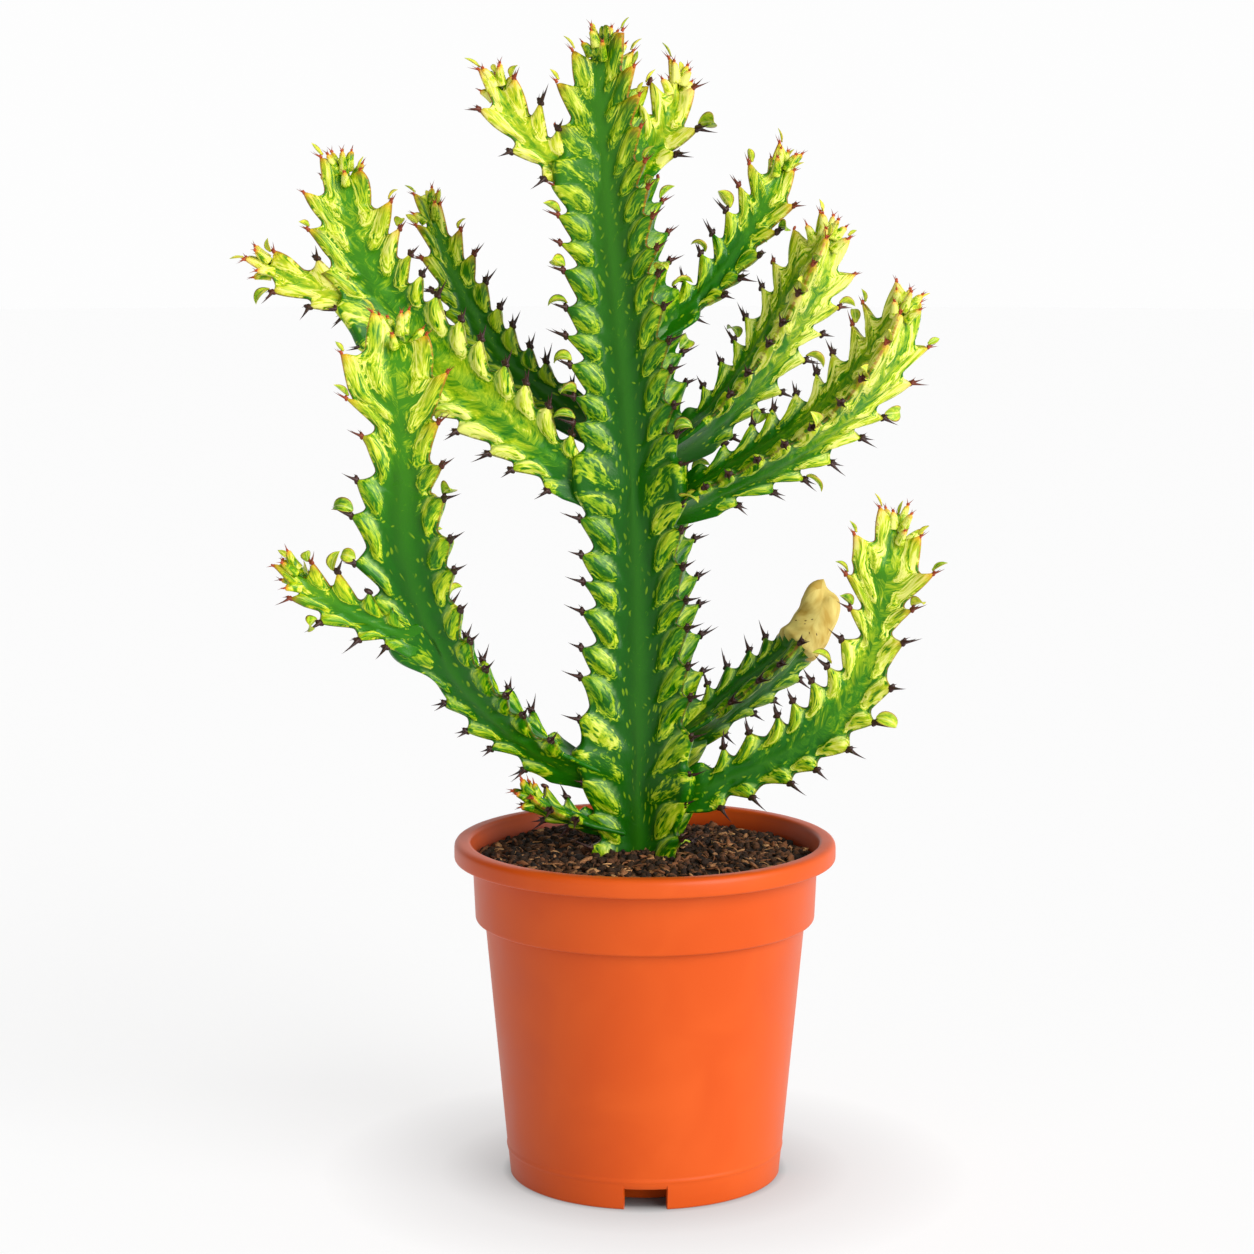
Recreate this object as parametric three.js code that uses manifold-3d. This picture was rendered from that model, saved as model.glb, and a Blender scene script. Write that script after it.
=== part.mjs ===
// A potted euphorbia: winged, toothed succulent stems that branch like a candelabra, in a round nursery pot.
// Units are millimetres and +Z is up. The origin is the centre of the pot's flat underside, and -Y is the front.

import * as THREE from "three";
import { mergeVertices } from "three/addons/utils/BufferGeometryUtils.js";
import Module from "manifold-3d";

const wasm = await Module();
wasm.setup();

// ---- Driving dimensions ----

const CLEARANCE = 0.35; // air between two solids that touch on the real plant
const WELD = 0.02; // points closer than this are one
const FRONT = new THREE.Vector3(0, -1, 0);
const UP = new THREE.Vector3(0, 0, 1);

const POT = {
  height: 152,
  lipRadius: 85,
  lipDrop: 8.5, // height of the rolled lip's outer band
  lipTop: 5.6, // width of the lip's rounded top
  collarRadius: 76.9,
  collarHeight: 27, // from the ledge to the lip
  collarDraft: 1.2, // how much the collar narrows down to the ledge
  ledgeStep: 4.2, // how far the collar stands proud of the body
  footRadius: 60.8,
  wall: 1.7,
  floor: 2,
  rounding: 1.2, // of the outer edges
  skirt: 3.3, // thickness of the skirt that it stands on
  gutterHeight: 10, // the floor's outer ring is raised by this much
  gutterInnerRadius: 44,
  gutterDraft: 1.5, // slope of the step between the floor's two levels
  ridgeHeight: 13, // a thin moulded bead round the foot
  ridgeProud: 0.3,
  notches: 4,
  notchWidth: 19,
  notchHeight: 9.4,
  drainRadius: 4,
  drainRing: 51,
  facets: 40,
};

const SOIL = {
  surface: 144.5, // height of the soil at the pot's wall
  mound: 2, // how much higher it lies round the stem
  lump: 1.1, // height of its crumbs
  rings: [74.9, 71, 61, 50, 39, 29],
};

const SPINE = { length: 6.5, root: 1.9 };
const LEAF = { length: 9, width: 4.4, thickness: 1, sunk: 2.6, above: 3, share: 0.4 };

// ---- Small helpers ----

/** Seeded draws between 0 and 1, the same on every run. */
function drawsFrom(seed) {
  let state = seed >>> 0;
  return () => {
    state = (Math.imul(state, 1664525) + 1013904223) >>> 0;
    return state / 4294967296;
  };
}

/** The value at x of a curve given as [x, value] pairs, joined by straight lines. */
function between(pairs, x) {
  if (x <= pairs[0][0]) return pairs[0][1];
  for (let i = 1; i < pairs.length; i++) {
    const [x0, v0] = pairs[i - 1];
    const [x1, v1] = pairs[i];
    if (x <= x1) return v0 + ((v1 - v0) * (x - x0)) / (x1 - x0);
  }
  return pairs[pairs.length - 1][1];
}

/** A closed BufferGeometry as a solid, with shared vertices merged and collapsed triangles dropped. */
function solidFrom(geometry) {
  const bare = new THREE.BufferGeometry();
  bare.setAttribute("position", geometry.getAttribute("position").clone());
  if (geometry.index) bare.setIndex(geometry.index.clone());
  const merged = mergeVertices(bare, 1e-4);
  const index = merged.index.array;
  const kept = [];
  for (let i = 0; i < index.length; i += 3) {
    const [a, b, c] = [index[i], index[i + 1], index[i + 2]];
    if (a !== b && b !== c && c !== a) kept.push(a, b, c);
  }
  return new wasm.Manifold(
    new wasm.Mesh({
      numProp: 3,
      vertProperties: merged.attributes.position.array,
      triVerts: new Uint32Array(kept),
      tolerance: WELD,
    }),
  );
}

/** A solid from a list of points and a list of triangles of point numbers. */
function solidFromFaces(points, faces) {
  return new wasm.Manifold(
    new wasm.Mesh({
      numProp: 3,
      vertProperties: new Float32Array(points.flatMap((p) => [p.x, p.y, p.z])),
      triVerts: new Uint32Array(faces.flat()),
      tolerance: WELD,
    }),
  );
}

/** The largest body of a solid: scraps that a cut leaves loose are dropped. */
function largestBody(solid) {
  return solid
    .decompose()
    .reduce((best, body) => (body.volume() > best.volume() ? body : best));
}

/** A named mesh from a solid. */
function meshOf(name, solid, color, roughness) {
  const { vertProperties, triVerts } = solid.getMesh();
  const geometry = new THREE.BufferGeometry();
  geometry.setAttribute(
    "position",
    new THREE.BufferAttribute(new Float32Array(vertProperties), 3),
  );
  geometry.setIndex(new THREE.BufferAttribute(new Uint32Array(triVerts), 1));
  geometry.computeVertexNormals();
  const material = new THREE.MeshStandardMaterial({
    color,
    roughness,
    metalness: 0,
    flatShading: true,
  });
  const mesh = new THREE.Mesh(geometry, material);
  mesh.name = name;
  return mesh;
}

/** A solid turned round +Z from a closed profile of [radius, height] points that starts and ends on the axis. */
function turned(profile, facets) {
  const points = profile.map(([r, z]) => new THREE.Vector2(r, z));
  return new THREE.LatheGeometry(points, facets).rotateX(Math.PI / 2);
}

// ---- Pot ----

const lipBottom = POT.height - POT.lipDrop;
const ledgeHeight = lipBottom - POT.collarHeight;
const bodyTopRadius = POT.collarRadius - POT.collarDraft - POT.ledgeStep;
const gutterTop = POT.gutterHeight + POT.floor;

/** The inside radius of the pot's wall at a height, above the gutter. */
function potInnerRadius(z) {
  return between(
    [
      [POT.gutterHeight, POT.footRadius - POT.wall + 0.6],
      [ledgeHeight - 2, bodyTopRadius - POT.wall],
      [ledgeHeight + 2.5, bodyTopRadius + POT.ledgeStep - POT.wall],
      [lipBottom - 1, POT.collarRadius - POT.wall],
      [POT.height - 3, POT.collarRadius + 0.3],
    ],
    z,
  );
}

/** Heights where the pot's inner wall bends, from the gutter up to under the lip. */
const innerHeights = [gutterTop, ledgeHeight - 2, ledgeHeight + 2.5, lipBottom - 1];

function potSolid() {
  const { footRadius, gutterInnerRadius, gutterDraft, gutterHeight, lipRadius, rounding } = POT;
  const ridgeRadius = between(
    [
      [0, footRadius],
      [ledgeHeight, bodyTopRadius],
    ],
    POT.ridgeHeight,
  );
  const underside = [
    [0, 0],
    [gutterInnerRadius, 0],
    [gutterInnerRadius + gutterDraft, gutterHeight],
    [footRadius - POT.skirt - 0.2, gutterHeight],
    [footRadius - POT.skirt, 0],
  ];
  const body = [
    [footRadius - 1, 0],
    [footRadius, rounding],
    [ridgeRadius, POT.ridgeHeight - 1],
    [ridgeRadius + POT.ridgeProud, POT.ridgeHeight],
    [ridgeRadius + 0.1, POT.ridgeHeight + 1],
    [bodyTopRadius, ledgeHeight - 0.4],
    [bodyTopRadius + POT.ledgeStep - 0.6, ledgeHeight],
    [bodyTopRadius + POT.ledgeStep, ledgeHeight + 0.9],
    [POT.collarRadius, lipBottom],
  ];
  const lip = [
    [lipRadius - rounding, lipBottom],
    [lipRadius, lipBottom + rounding],
    [lipRadius, POT.height - 2 * rounding],
    [lipRadius - rounding, POT.height - 0.7],
    [lipRadius - POT.lipTop / 2, POT.height],
    [lipRadius - POT.lipTop, POT.height - 0.6],
    [potInnerRadius(POT.height - 3), POT.height - 3],
  ];
  const inside = innerHeights.map((z) => [potInnerRadius(z), z]).reverse();
  const floor = [
    [gutterInnerRadius + gutterDraft - POT.wall, gutterTop],
    [gutterInnerRadius - POT.wall, POT.floor],
    [0, POT.floor],
  ];
  const profile = [...underside, ...body, ...lip, ...inside, ...floor];
  let solid = solidFrom(turned(profile, POT.facets));
  for (let i = 0; i < POT.notches; i++) {
    const turn = (i / POT.notches) * Math.PI * 2 - Math.PI / 2;
    const notch = new THREE.BoxGeometry(POT.skirt * 3, POT.notchWidth, POT.notchHeight * 2)
      .translate(footRadius, 0, 0)
      .rotateZ(turn);
    const drain = new THREE.CylinderGeometry(POT.drainRadius, POT.drainRadius, POT.floor * 3, 12)
      .rotateX(Math.PI / 2)
      .translate(POT.drainRing, 0, gutterHeight + POT.floor / 2)
      .rotateZ(turn);
    solid = solid.subtract(solidFrom(notch)).subtract(solidFrom(drain));
  }
  return largestBody(solid);
}

// ---- Soil ----

function soilSolid(footHole) {
  const draw = drawsFrom(41);
  const stepFoot = POT.gutterInnerRadius - POT.wall - CLEARANCE;
  const profile = [
    [0, POT.floor + CLEARANCE],
    [stepFoot, POT.floor + CLEARANCE],
    [stepFoot + POT.gutterDraft, gutterTop + CLEARANCE],
    [potInnerRadius(gutterTop) - CLEARANCE, gutterTop + CLEARANCE],
    ...innerHeights.slice(1).map((z) => [potInnerRadius(z) - CLEARANCE, z]),
    ...SOIL.rings.map((r) => [r, SOIL.surface]),
    [0, SOIL.surface],
  ];
  const geometry = turned(profile, POT.facets);
  const place = geometry.getAttribute("position");
  const lumps = new Map(); // the seam's two copies of a point are raised alike
  for (let i = 0; i < place.count; i++) {
    const reach = Math.hypot(place.getX(i), place.getY(i));
    if (place.getZ(i) < SOIL.surface - 0.01) continue;
    const key = `${Math.round(place.getX(i) * 100)},${Math.round(place.getY(i) * 100)}`;
    if (!lumps.has(key)) lumps.set(key, draw() * 2 - 1);
    const mound = SOIL.mound * (1 - reach / SOIL.rings[0]);
    place.setZ(i, SOIL.surface + mound + lumps.get(key) * SOIL.lump);
  }
  return largestBody(solidFrom(geometry).subtract(footHole));
}

// ---- Stems ----
//
// A stem is a star-shaped section of three or four thin wings, swept along its route. Each wing's margin is cut
// into teeth: going up, it swells outward to a tip that leans upward, then drops back to the next notch. The
// wings' teeth are staggered, so the sections are laid askew, each wing a share of a pitch above the last.
//
// route: the axis, foot to tip. reach: wing radius at distances along it. azimuth: where the first wing points,
// at the foot and at the tip, in degrees from the stem's right-hand side, with -90 the front. tooth: depth of the
// teeth at the foot and at the tip. plain: the length at the foot that has no teeth. leafy: the share of the
// length below which no tooth carries a leaf.

const MAIN = {
  name: "stem_main",
  route: [
    [-1, 0, 104],
    [-1, 0, 190],
    [-1, 0, 245],
    [-3, 0, 300],
    [-7, 0, 356],
    [-11, 0, 396],
    [-15, 0, 434],
    [-18, 0, 472],
    [-18, 0, 502],
  ],
  wings: [-158, -48, 28, 112],
  turn: [0, 0],
  reach: [
    [0, 24],
    [44, 24],
    [90, 30],
    [130, 29.5],
    [160, 27],
    [260, 27],
    [330, 24],
    [372, 22],
    [398, 15],
  ],
  pitch: 15.6,
  tooth: [5.5, 6.5],
  plain: 44,
  leafy: 0.42,
  seed: 3,
  color: 0x2f6f22,
};

const THREE_WINGS = [0, 120, 240];

const BRANCHES = [
  {
    name: "branch_left_low",
    carriedBy: "stem_main",
    seat: { wing: 0, height: 188 },
    route: [
      [-12, -1, 178],
      [-40, -10, 191],
      [-64, -21, 212],
      [-83, -32, 237],
      [-95, -38, 265],
      [-101, -42, 294],
      [-102, -43, 325],
      [-104, -43, 355],
      [-106, -42, 380],
    ],
    turn: [-70, -30],
    reach: [
      [0, 6],
      [20, 9],
      [36, 13],
      [64, 15.5],
      [95, 18],
      [125, 22],
      [153, 26],
      [176, 22],
      [196, 18],
      [208, 20],
      [222, 28],
      [238, 25],
      [250, 17],
    ],
    pitch: 16,
    tooth: [5.5, 7],
    plain: 36,
    leafy: 0.45,
    seed: 5,
    color: 0x4f8a1e,
  },
  {
    name: "shoot_left_low",
    carriedBy: "branch_left_low",
    route: [
      [-90, -36, 243],
      [-106, -39, 250],
      [-122, -42, 257.5],
      [-138, -46, 268],
      [-151, -50, 279],
    ],
    turn: [-30, -30],
    reach: [
      [0, 7],
      [20, 9],
      [34, 12],
      [56, 13],
      [71, 9],
    ],
    pitch: 16,
    tooth: [5, 6],
    plain: 20,
    leafy: 0.6,
    seed: 7,
    color: 0x86a92a,
  },
  {
    name: "branch_left_high",
    carriedBy: "stem_main",
    seat: { wing: 0, height: 312 },
    route: [
      [-9, -2, 299],
      [-37, -3, 319],
      [-59, 0, 337],
      [-83, 4, 357],
      [-105, 8, 380],
      [-120, 9, 402],
      [-128, 8, 426],
      [-132, 6, 448],
    ],
    turn: [-28, -30],
    reach: [
      [0, 7],
      [20, 10],
      [35, 15],
      [62, 20],
      [95, 22],
      [150, 22],
      [176, 22],
      [190, 20],
      [200, 14],
    ],
    pitch: 14.6,
    tooth: [5.5, 7.5],
    plain: 34,
    leafy: 0.4,
    seed: 11,
    color: 0x6f9a20,
  },
  {
    name: "shoot_left_high",
    carriedBy: "branch_left_high",
    route: [
      [-108, 7, 381],
      [-122, 7, 387.5],
      [-138, 5, 394],
      [-154, 2, 401],
      [-167, 0, 408],
    ],
    turn: [-30, -30],
    reach: [
      [0, 6],
      [16, 8],
      [28, 11],
      [52, 13],
      [65, 9],
    ],
    pitch: 16,
    tooth: [5, 6],
    plain: 20,
    leafy: 0.6,
    seed: 13,
    color: 0x9db22c,
  },
  {
    name: "branch_left_back",
    carriedBy: "stem_main",
    seat: { wing: 3, height: 344 },
    route: [
      [-10, 8, 326],
      [-40, 24, 346],
      [-64, 34, 365],
      [-79, 41, 387],
      [-89, 45, 409],
      [-97, 47, 432],
    ],
    turn: [-30, -30],
    reach: [
      [0, 6],
      [18, 9],
      [40, 12],
      [80, 13.5],
      [115, 13],
      [140, 9],
    ],
    pitch: 13,
    tooth: [4, 5],
    plain: 38,
    leafy: 0.5,
    seed: 17,
    color: 0x2c5a1c,
  },
  {
    name: "shoot_top_left",
    carriedBy: "stem_main",
    seat: { wing: 0, height: 447 },
    route: [
      [-20, 0, 442],
      [-40, -4, 452],
      [-52, -7, 464],
      [-60, -9, 476],
      [-64, -10, 485],
    ],
    turn: [-35, -30],
    reach: [
      [0, 6],
      [12, 8],
      [20, 11],
      [40, 14],
      [54, 14.5],
      [64, 10],
    ],
    pitch: 16,
    tooth: [6, 7],
    plain: 22,
    leafy: 0.5,
    seed: 19,
    color: 0xc2cb2e,
  },
  {
    name: "shoot_top_right",
    carriedBy: "stem_main",
    seat: { wing: 2, height: 452 },
    route: [
      [-12, 4, 440],
      [1, 9, 453],
      [9.5, 12, 466],
      [13.5, 14, 478],
      [14.5, 14, 486.5],
    ],
    turn: [-40, -35],
    reach: [
      [0, 5],
      [12, 8],
      [20, 12],
      [32, 16],
      [46, 13],
      [55, 9],
    ],
    pitch: 16,
    tooth: [6, 7],
    plain: 22,
    leafy: 0.5,
    seed: 23,
    color: 0xc6c92e,
  },
  {
    name: "branch_right_top",
    carriedBy: "stem_main",
    seat: { wing: 2, height: 382 },
    route: [
      [-6, 4, 368],
      [18, 14, 385],
      [35, 18, 403],
      [47, 21, 421],
      [56, 23, 437],
      [62, 24, 450],
    ],
    turn: [-70, -35],
    reach: [
      [0, 5],
      [20, 8],
      [40, 11],
      [72, 13.5],
      [95, 15.5],
      [110, 11],
    ],
    pitch: 13,
    tooth: [4.5, 6.5],
    plain: 36,
    leafy: 0.45,
    seed: 29,
    color: 0x57901f,
  },
  {
    name: "branch_right_upper",
    carriedBy: "stem_main",
    seat: { wing: 2, height: 328 },
    route: [
      [-2, 0, 318],
      [26, 3, 336],
      [45, 6, 356],
      [59, 8, 376],
      [70, 9, 396],
      [78, 10, 412],
      [81, 10, 420],
    ],
    turn: [-100, -95],
    reach: [
      [0, 6],
      [20, 10],
      [38, 14],
      [64, 17],
      [95, 19],
      [115, 21],
      [126, 17],
      [134, 12],
    ],
    pitch: 14,
    tooth: [5, 8],
    plain: 38,
    leafy: 0.4,
    seed: 31,
    color: 0x6b9a1f,
  },
  {
    name: "branch_right_middle",
    carriedBy: "stem_main",
    seat: { wing: 1, height: 310 },
    route: [
      [-2, -3, 293],
      [28, -14, 310],
      [53, -23, 324],
      [75, -30, 339],
      [91, -35, 356],
      [103, -38, 374],
      [110, -39, 391],
    ],
    turn: [-100, -95],
    reach: [
      [0, 7],
      [20, 10],
      [36, 14],
      [64, 18],
      [120, 19.5],
      [145, 19.5],
      [156, 12],
    ],
    pitch: 15,
    tooth: [5, 8],
    plain: 40,
    leafy: 0.35,
    seed: 37,
    color: 0x6c9c20,
  },
  {
    name: "branch_right_low",
    carriedBy: "stem_main",
    seat: { wing: 1, height: 178 },
    route: [
      [-2, -3, 168],
      [29, -13, 178],
      [53, -21, 190],
      [75, -28, 205],
      [90, -33, 223],
      [98, -36, 244],
      [102, -37, 265],
      [106, -38, 285],
      [108, -38, 297],
    ],
    turn: [-50, -35],
    reach: [
      [0, 6],
      [20, 9],
      [36, 13],
      [70, 16],
      [98, 18.5],
      [122, 16],
      [148, 14],
      [160, 18.5],
      [171, 24],
      [182, 19],
      [191, 13],
    ],
    pitch: 14.4,
    tooth: [5, 7.5],
    plain: 40,
    leafy: 0.45,
    seed: 41,
    color: 0x7fae22,
  },
  {
    name: "branch_right_withered",
    carriedBy: "stem_main",
    seat: { wing: 2, height: 198 },
    route: [
      [-2, 3, 190],
      [26, 10, 203],
      [46, 15, 217],
      [62, 20, 229],
      [73, 24, 241],
      [79, 26, 252],
      [81, 27, 261],
    ],
    turn: [-95, -95],
    reach: [
      [0, 6],
      [20, 9],
      [34, 12],
      [56, 14],
      [74, 13.5],
      [92, 11],
      [113, 9.5],
    ],
    pitch: 13,
    tooth: [5, 2.5],
    plain: 38,
    leafy: 1,
    seed: 43,
    color: 0x5f8a24,
  },
  {
    name: "shoot_foot_left",
    carriedBy: "stem_main",
    seat: { wing: 0, height: 162 },
    route: [
      [-10, -4, 156],
      [-30, -11, 163],
      [-44, -16, 169],
      [-53, -19, 176],
    ],
    turn: [-90, -90],
    reach: [
      [0, 4],
      [20, 6],
      [30, 7.5],
      [50, 6.5],
    ],
    pitch: 11,
    tooth: [3, 4],
    plain: 24,
    leafy: 1,
    seed: 47,
    color: 0x3c7a20,
  },
];

const SECTION = {
  core: 0.37, // valley radius as a share of the wing radius
  footCore: 0.6, // the same at a branch's foot, where the wings are still low
  margin: 1.35, // half thickness of a wing at its margin
  slope: 0.2, // how fast a wing thickens towards the core
  swell: 0.14, // how much a tubercle swells the wing's flank
};

const WING_POINTS = 5; // points of a wing's section at each ring
const MARGIN_COLUMN = 2; // the first of the two that bound its margin
const TIP_RISE = 1.5; // how far the growing tip stands above the last ring
const SEAT_FLARE = { reach: 9, spread: 19 }; // a wing grows further out where it carries a branch

/** A stem's working values: its curve, its length, its ring spacing and each wing's stagger. */
function prepared(spec) {
  const wings = spec.wings ?? THREE_WINGS;
  const curve = new THREE.CatmullRomCurve3(
    spec.route.map((p) => new THREE.Vector3(...p)),
    false,
    "centripetal",
  );
  const length = curve.getLength();
  const staggers = wings.map((_, w) =>
    wings.length === 4 ? (w % 2) / 2 : w / wings.length,
  );
  const mostStagger = Math.max(...staggers) * spec.pitch;
  const halfPitches = Math.round(((length - mostStagger) / spec.pitch) * 2);
  const ringCount = halfPitches % 2 ? halfPitches : halfPitches + 1; // ends on a tooth
  const step = (length - mostStagger) / ringCount;
  return { ...spec, wings, curve, length, staggers, ringCount, step, flares: [] };
}

/** The stem's centre and its three directions at a distance along it. */
function frameAt(stem, distance) {
  const u = THREE.MathUtils.clamp(distance / stem.length, 0, 1);
  const along = stem.curve.getTangentAt(u);
  const front = FRONT.clone().addScaledVector(along, -FRONT.dot(along)).normalize();
  const side = new THREE.Vector3().crossVectors(along, front);
  const centre = stem.curve
    .getPointAt(u)
    .addScaledVector(along, distance - u * stem.length);
  return { centre, along, front, side };
}

/** The direction across the stem at an azimuth in degrees. */
function across({ side, front }, azimuth) {
  const a = THREE.MathUtils.degToRad(azimuth);
  return side
    .clone()
    .multiplyScalar(Math.cos(a))
    .addScaledVector(front, -Math.sin(a));
}

/** The azimuth of a wing at a distance along the stem. */
function wingAzimuth(stem, wing, distance) {
  return stem.wings[wing] + between([[0, stem.turn[0]], [stem.length, stem.turn[1]]], distance);
}

/** How the last rings close in round the growing tip: 1 below it, and smaller towards the end. */
function tipTaper(stem, ring) {
  const late = THREE.MathUtils.clamp((ring - (stem.ringCount - 3)) / 3.6, 0, 1);
  return Math.sqrt(1 - late * late);
}

/** The radius of a wing's tooth tips at a ring. */
function wingReach(stem, wing, ring, distance) {
  const height = frameAt(stem, distance).centre.z;
  const flare = stem.flares
    .filter((f) => f.wing === wing)
    .reduce((sum, f) => sum + Math.exp(-(((height - f.height) / SEAT_FLARE.spread) ** 2)), 0);
  return (between(stem.reach, distance) + flare * SEAT_FLARE.reach) * tipTaper(stem, ring);
}

/** The radius of the stem's valleys at a distance along it. */
function coreRadius(stem, distance) {
  const foot = stem.carriedBy ? SECTION.footCore : SECTION.core;
  const share = between([[0, foot], [stem.plain, SECTION.core]], distance);
  return between(stem.reach, distance) * share;
}

/** The points of one half of a wing's section, as [radial, lateral]: margin, flank and valley. */
function halfSection(edgeRadius, coreRadius, thickness, halfGap, swell) {
  const d = THREE.MathUtils.degToRad(halfGap);
  const m = SECTION.slope;
  const bendX =
    (coreRadius - (thickness + m * edgeRadius) * Math.sin(d)) / (Math.cos(d) - m * Math.sin(d));
  const bendY = thickness + m * (edgeRadius - bendX);
  const valley = [coreRadius * Math.cos(d), coreRadius * Math.sin(d)];
  const flank = [
    (edgeRadius + 2 * bendX + valley[0]) / 4,
    ((thickness + 2 * bendY + valley[1]) / 4) * (1 + swell),
  ];
  return { edge: [edgeRadius, thickness], flank };
}

/** The distance along the stem at which a wing's ring lies. */
function distanceOf(stem, wing, ring) {
  return ring * stem.step + stem.staggers[wing] * stem.pitch;
}

/** One tooth tip: where it is, and the directions outward, upward along the stem and sideways. */
function toothTip(stem, wing, ring) {
  const distance = distanceOf(stem, wing, ring);
  const frame = frameAt(stem, distance);
  const azimuth = wingAzimuth(stem, wing, distance);
  const outward = across(frame, azimuth);
  const sideways = across(frame, azimuth + 90);
  const reach = wingReach(stem, wing, ring, distance);
  const point = frame.centre
    .clone()
    .addScaledVector(outward, reach)
    .add(leanAt(stem, ring, frame));
  return { point, outward, along: frame.along, sideways, distance };
}

/** How far a tooth tip leans up from its root: more on the young growth at the tip. */
function leanAt(stem, ring, frame) {
  const young = THREE.MathUtils.clamp(1 - (stem.ringCount - ring) / 5, 0, 1);
  return frame.along
    .clone()
    .multiplyScalar(0.8)
    .addScaledVector(UP, 0.35)
    .multiplyScalar(stem.pitch * (0.26 + 0.3 * young));
}

/** The section's points of one wing at one ring: valley, flank, the margin's two sides, flank. */
function wingSection(stem, wing, ring, grow) {
  const wingCount = stem.wings.length;
  const before = (wing + wingCount - 1) % wingCount;
  const after = (wing + 1) % wingCount;
  const end = ring === 0 ? -grow : ring === stem.ringCount ? grow : 0;
  const valleyStagger = ((stem.staggers[before] + stem.staggers[wing]) / 2) * stem.pitch;
  const distance = distanceOf(stem, wing, ring);
  const valleyDistance = ring * stem.step + valleyStagger;
  const frame = frameAt(stem, distance + end);
  const valleyFrame = frameAt(stem, valleyDistance + end);
  const azimuth = wingAzimuth(stem, wing, distance);
  const gapBefore = (stem.wings[wing] - stem.wings[before] + 360) % 360;
  const gapAfter = (stem.wings[after] - stem.wings[wing] + 360) % 360;
  const toothed = distance >= stem.plain;
  const isTip = toothed && ring % 2 === 1;
  const taper = tipTaper(stem, ring);
  const depth = between([[0, stem.tooth[0]], [stem.length, stem.tooth[1]]], distance) * taper;
  const edge = wingReach(stem, wing, ring, distance) - (toothed && !isTip ? depth : 0) + grow;
  const core = coreRadius(stem, distance) * taper + grow;
  const valleyCore = coreRadius(stem, valleyDistance) * taper + grow;
  const swell = toothed ? (isTip ? SECTION.swell : -SECTION.swell) : 0;
  const lean = isTip ? leanAt(stem, ring, frame) : new THREE.Vector3();
  const margin = SECTION.margin + grow;
  const low = halfSection(edge, core, margin, gapBefore / 2, swell);
  const high = halfSection(edge, core, margin, gapAfter / 2, swell);
  const put = (at, azimuthThere, radial, lateral, leanShare) =>
    at.centre
      .clone()
      .addScaledVector(across(at, azimuthThere), radial)
      .addScaledVector(across(at, azimuthThere + 90), lateral)
      .addScaledVector(lean, leanShare);
  return [
    put(valleyFrame, azimuth - gapBefore / 2, valleyCore, 0, 0),
    put(frame, azimuth, low.flank[0], -low.flank[1], 0.5),
    put(frame, azimuth, low.edge[0], -low.edge[1], 1),
    put(frame, azimuth, high.edge[0], high.edge[1], 1),
    put(frame, azimuth, high.flank[0], high.flank[1], 0.5),
  ];
}

/** The margin's faces between a ring and the next, with a V of two spines on a tooth's tip. */
function marginFaces(points, [a, b, c, d], below, above) {
  const middle = (p, q) => points[p].clone().lerp(points[q], 0.5);
  if (above) {
    const m = above.middle ?? (above.middle = points.push(middle(d, c)) - 1);
    return [[a, b, m], [b, c, m], [a, m, d]];
  }
  if (!below) return [[a, b, c], [a, c, d]];
  const root = middle(a, b);
  const upper = middle(d, c);
  const share = Math.min(0.45, SPINE.root / root.distanceTo(upper));
  const m = below.middle ?? (below.middle = points.push(root.clone()) - 1);
  const x = points.push(root.clone().lerp(upper, share)) - 1;
  const left = points.push(below.tips[0]) - 1;
  const right = points.push(below.tips[1]) - 1;
  return [
    [a, x, d],
    [x, c, d],
    [b, c, x],
    [a, m, left],
    [m, x, left],
    [x, a, left],
    [m, b, right],
    [b, x, right],
    [x, m, right],
  ];
}

/** The swept, toothed star section of a stem: with its spines, or grown outward on all sides by `grow`. */
function stemSweep(stem, grow = 0) {
  const points = [];
  for (let ring = 0; ring <= stem.ringCount; ring++)
    stem.wings.forEach((_, wing) => points.push(...wingSection(stem, wing, ring, grow)));
  const columns = stem.wings.length * WING_POINTS;
  const at = (ring, column) => ring * columns + (column % columns);
  const spines = new Map(
    grow ? [] : stem.spines.map((spine) => [`${spine.wing},${spine.ring}`, { ...spine }]),
  );
  const faces = [];
  for (let ring = 0; ring < stem.ringCount; ring++) {
    for (let c = 0; c < columns; c++) {
      const quad = [at(ring, c), at(ring, c + 1), at(ring + 1, c + 1), at(ring + 1, c)];
      const wing = Math.floor(c / WING_POINTS);
      const onMargin = c % WING_POINTS === MARGIN_COLUMN;
      const below = onMargin ? spines.get(`${wing},${ring}`) : undefined;
      const above = onMargin ? spines.get(`${wing},${ring + 1}`) : undefined;
      faces.push(...marginFaces(points, quad, below, above));
    }
  }
  const foot = points.push(frameAt(stem, -grow).centre) - 1;
  const apex = points.push(frameAt(stem, stem.length + TIP_RISE + grow).centre) - 1;
  for (let c = 0; c < columns; c++) {
    faces.push([foot, at(0, c + 1), at(0, c)]);
    faces.push([apex, at(stem.ringCount, c), at(stem.ringCount, c + 1)]);
  }
  return solidFromFaces(points, faces);
}

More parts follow.
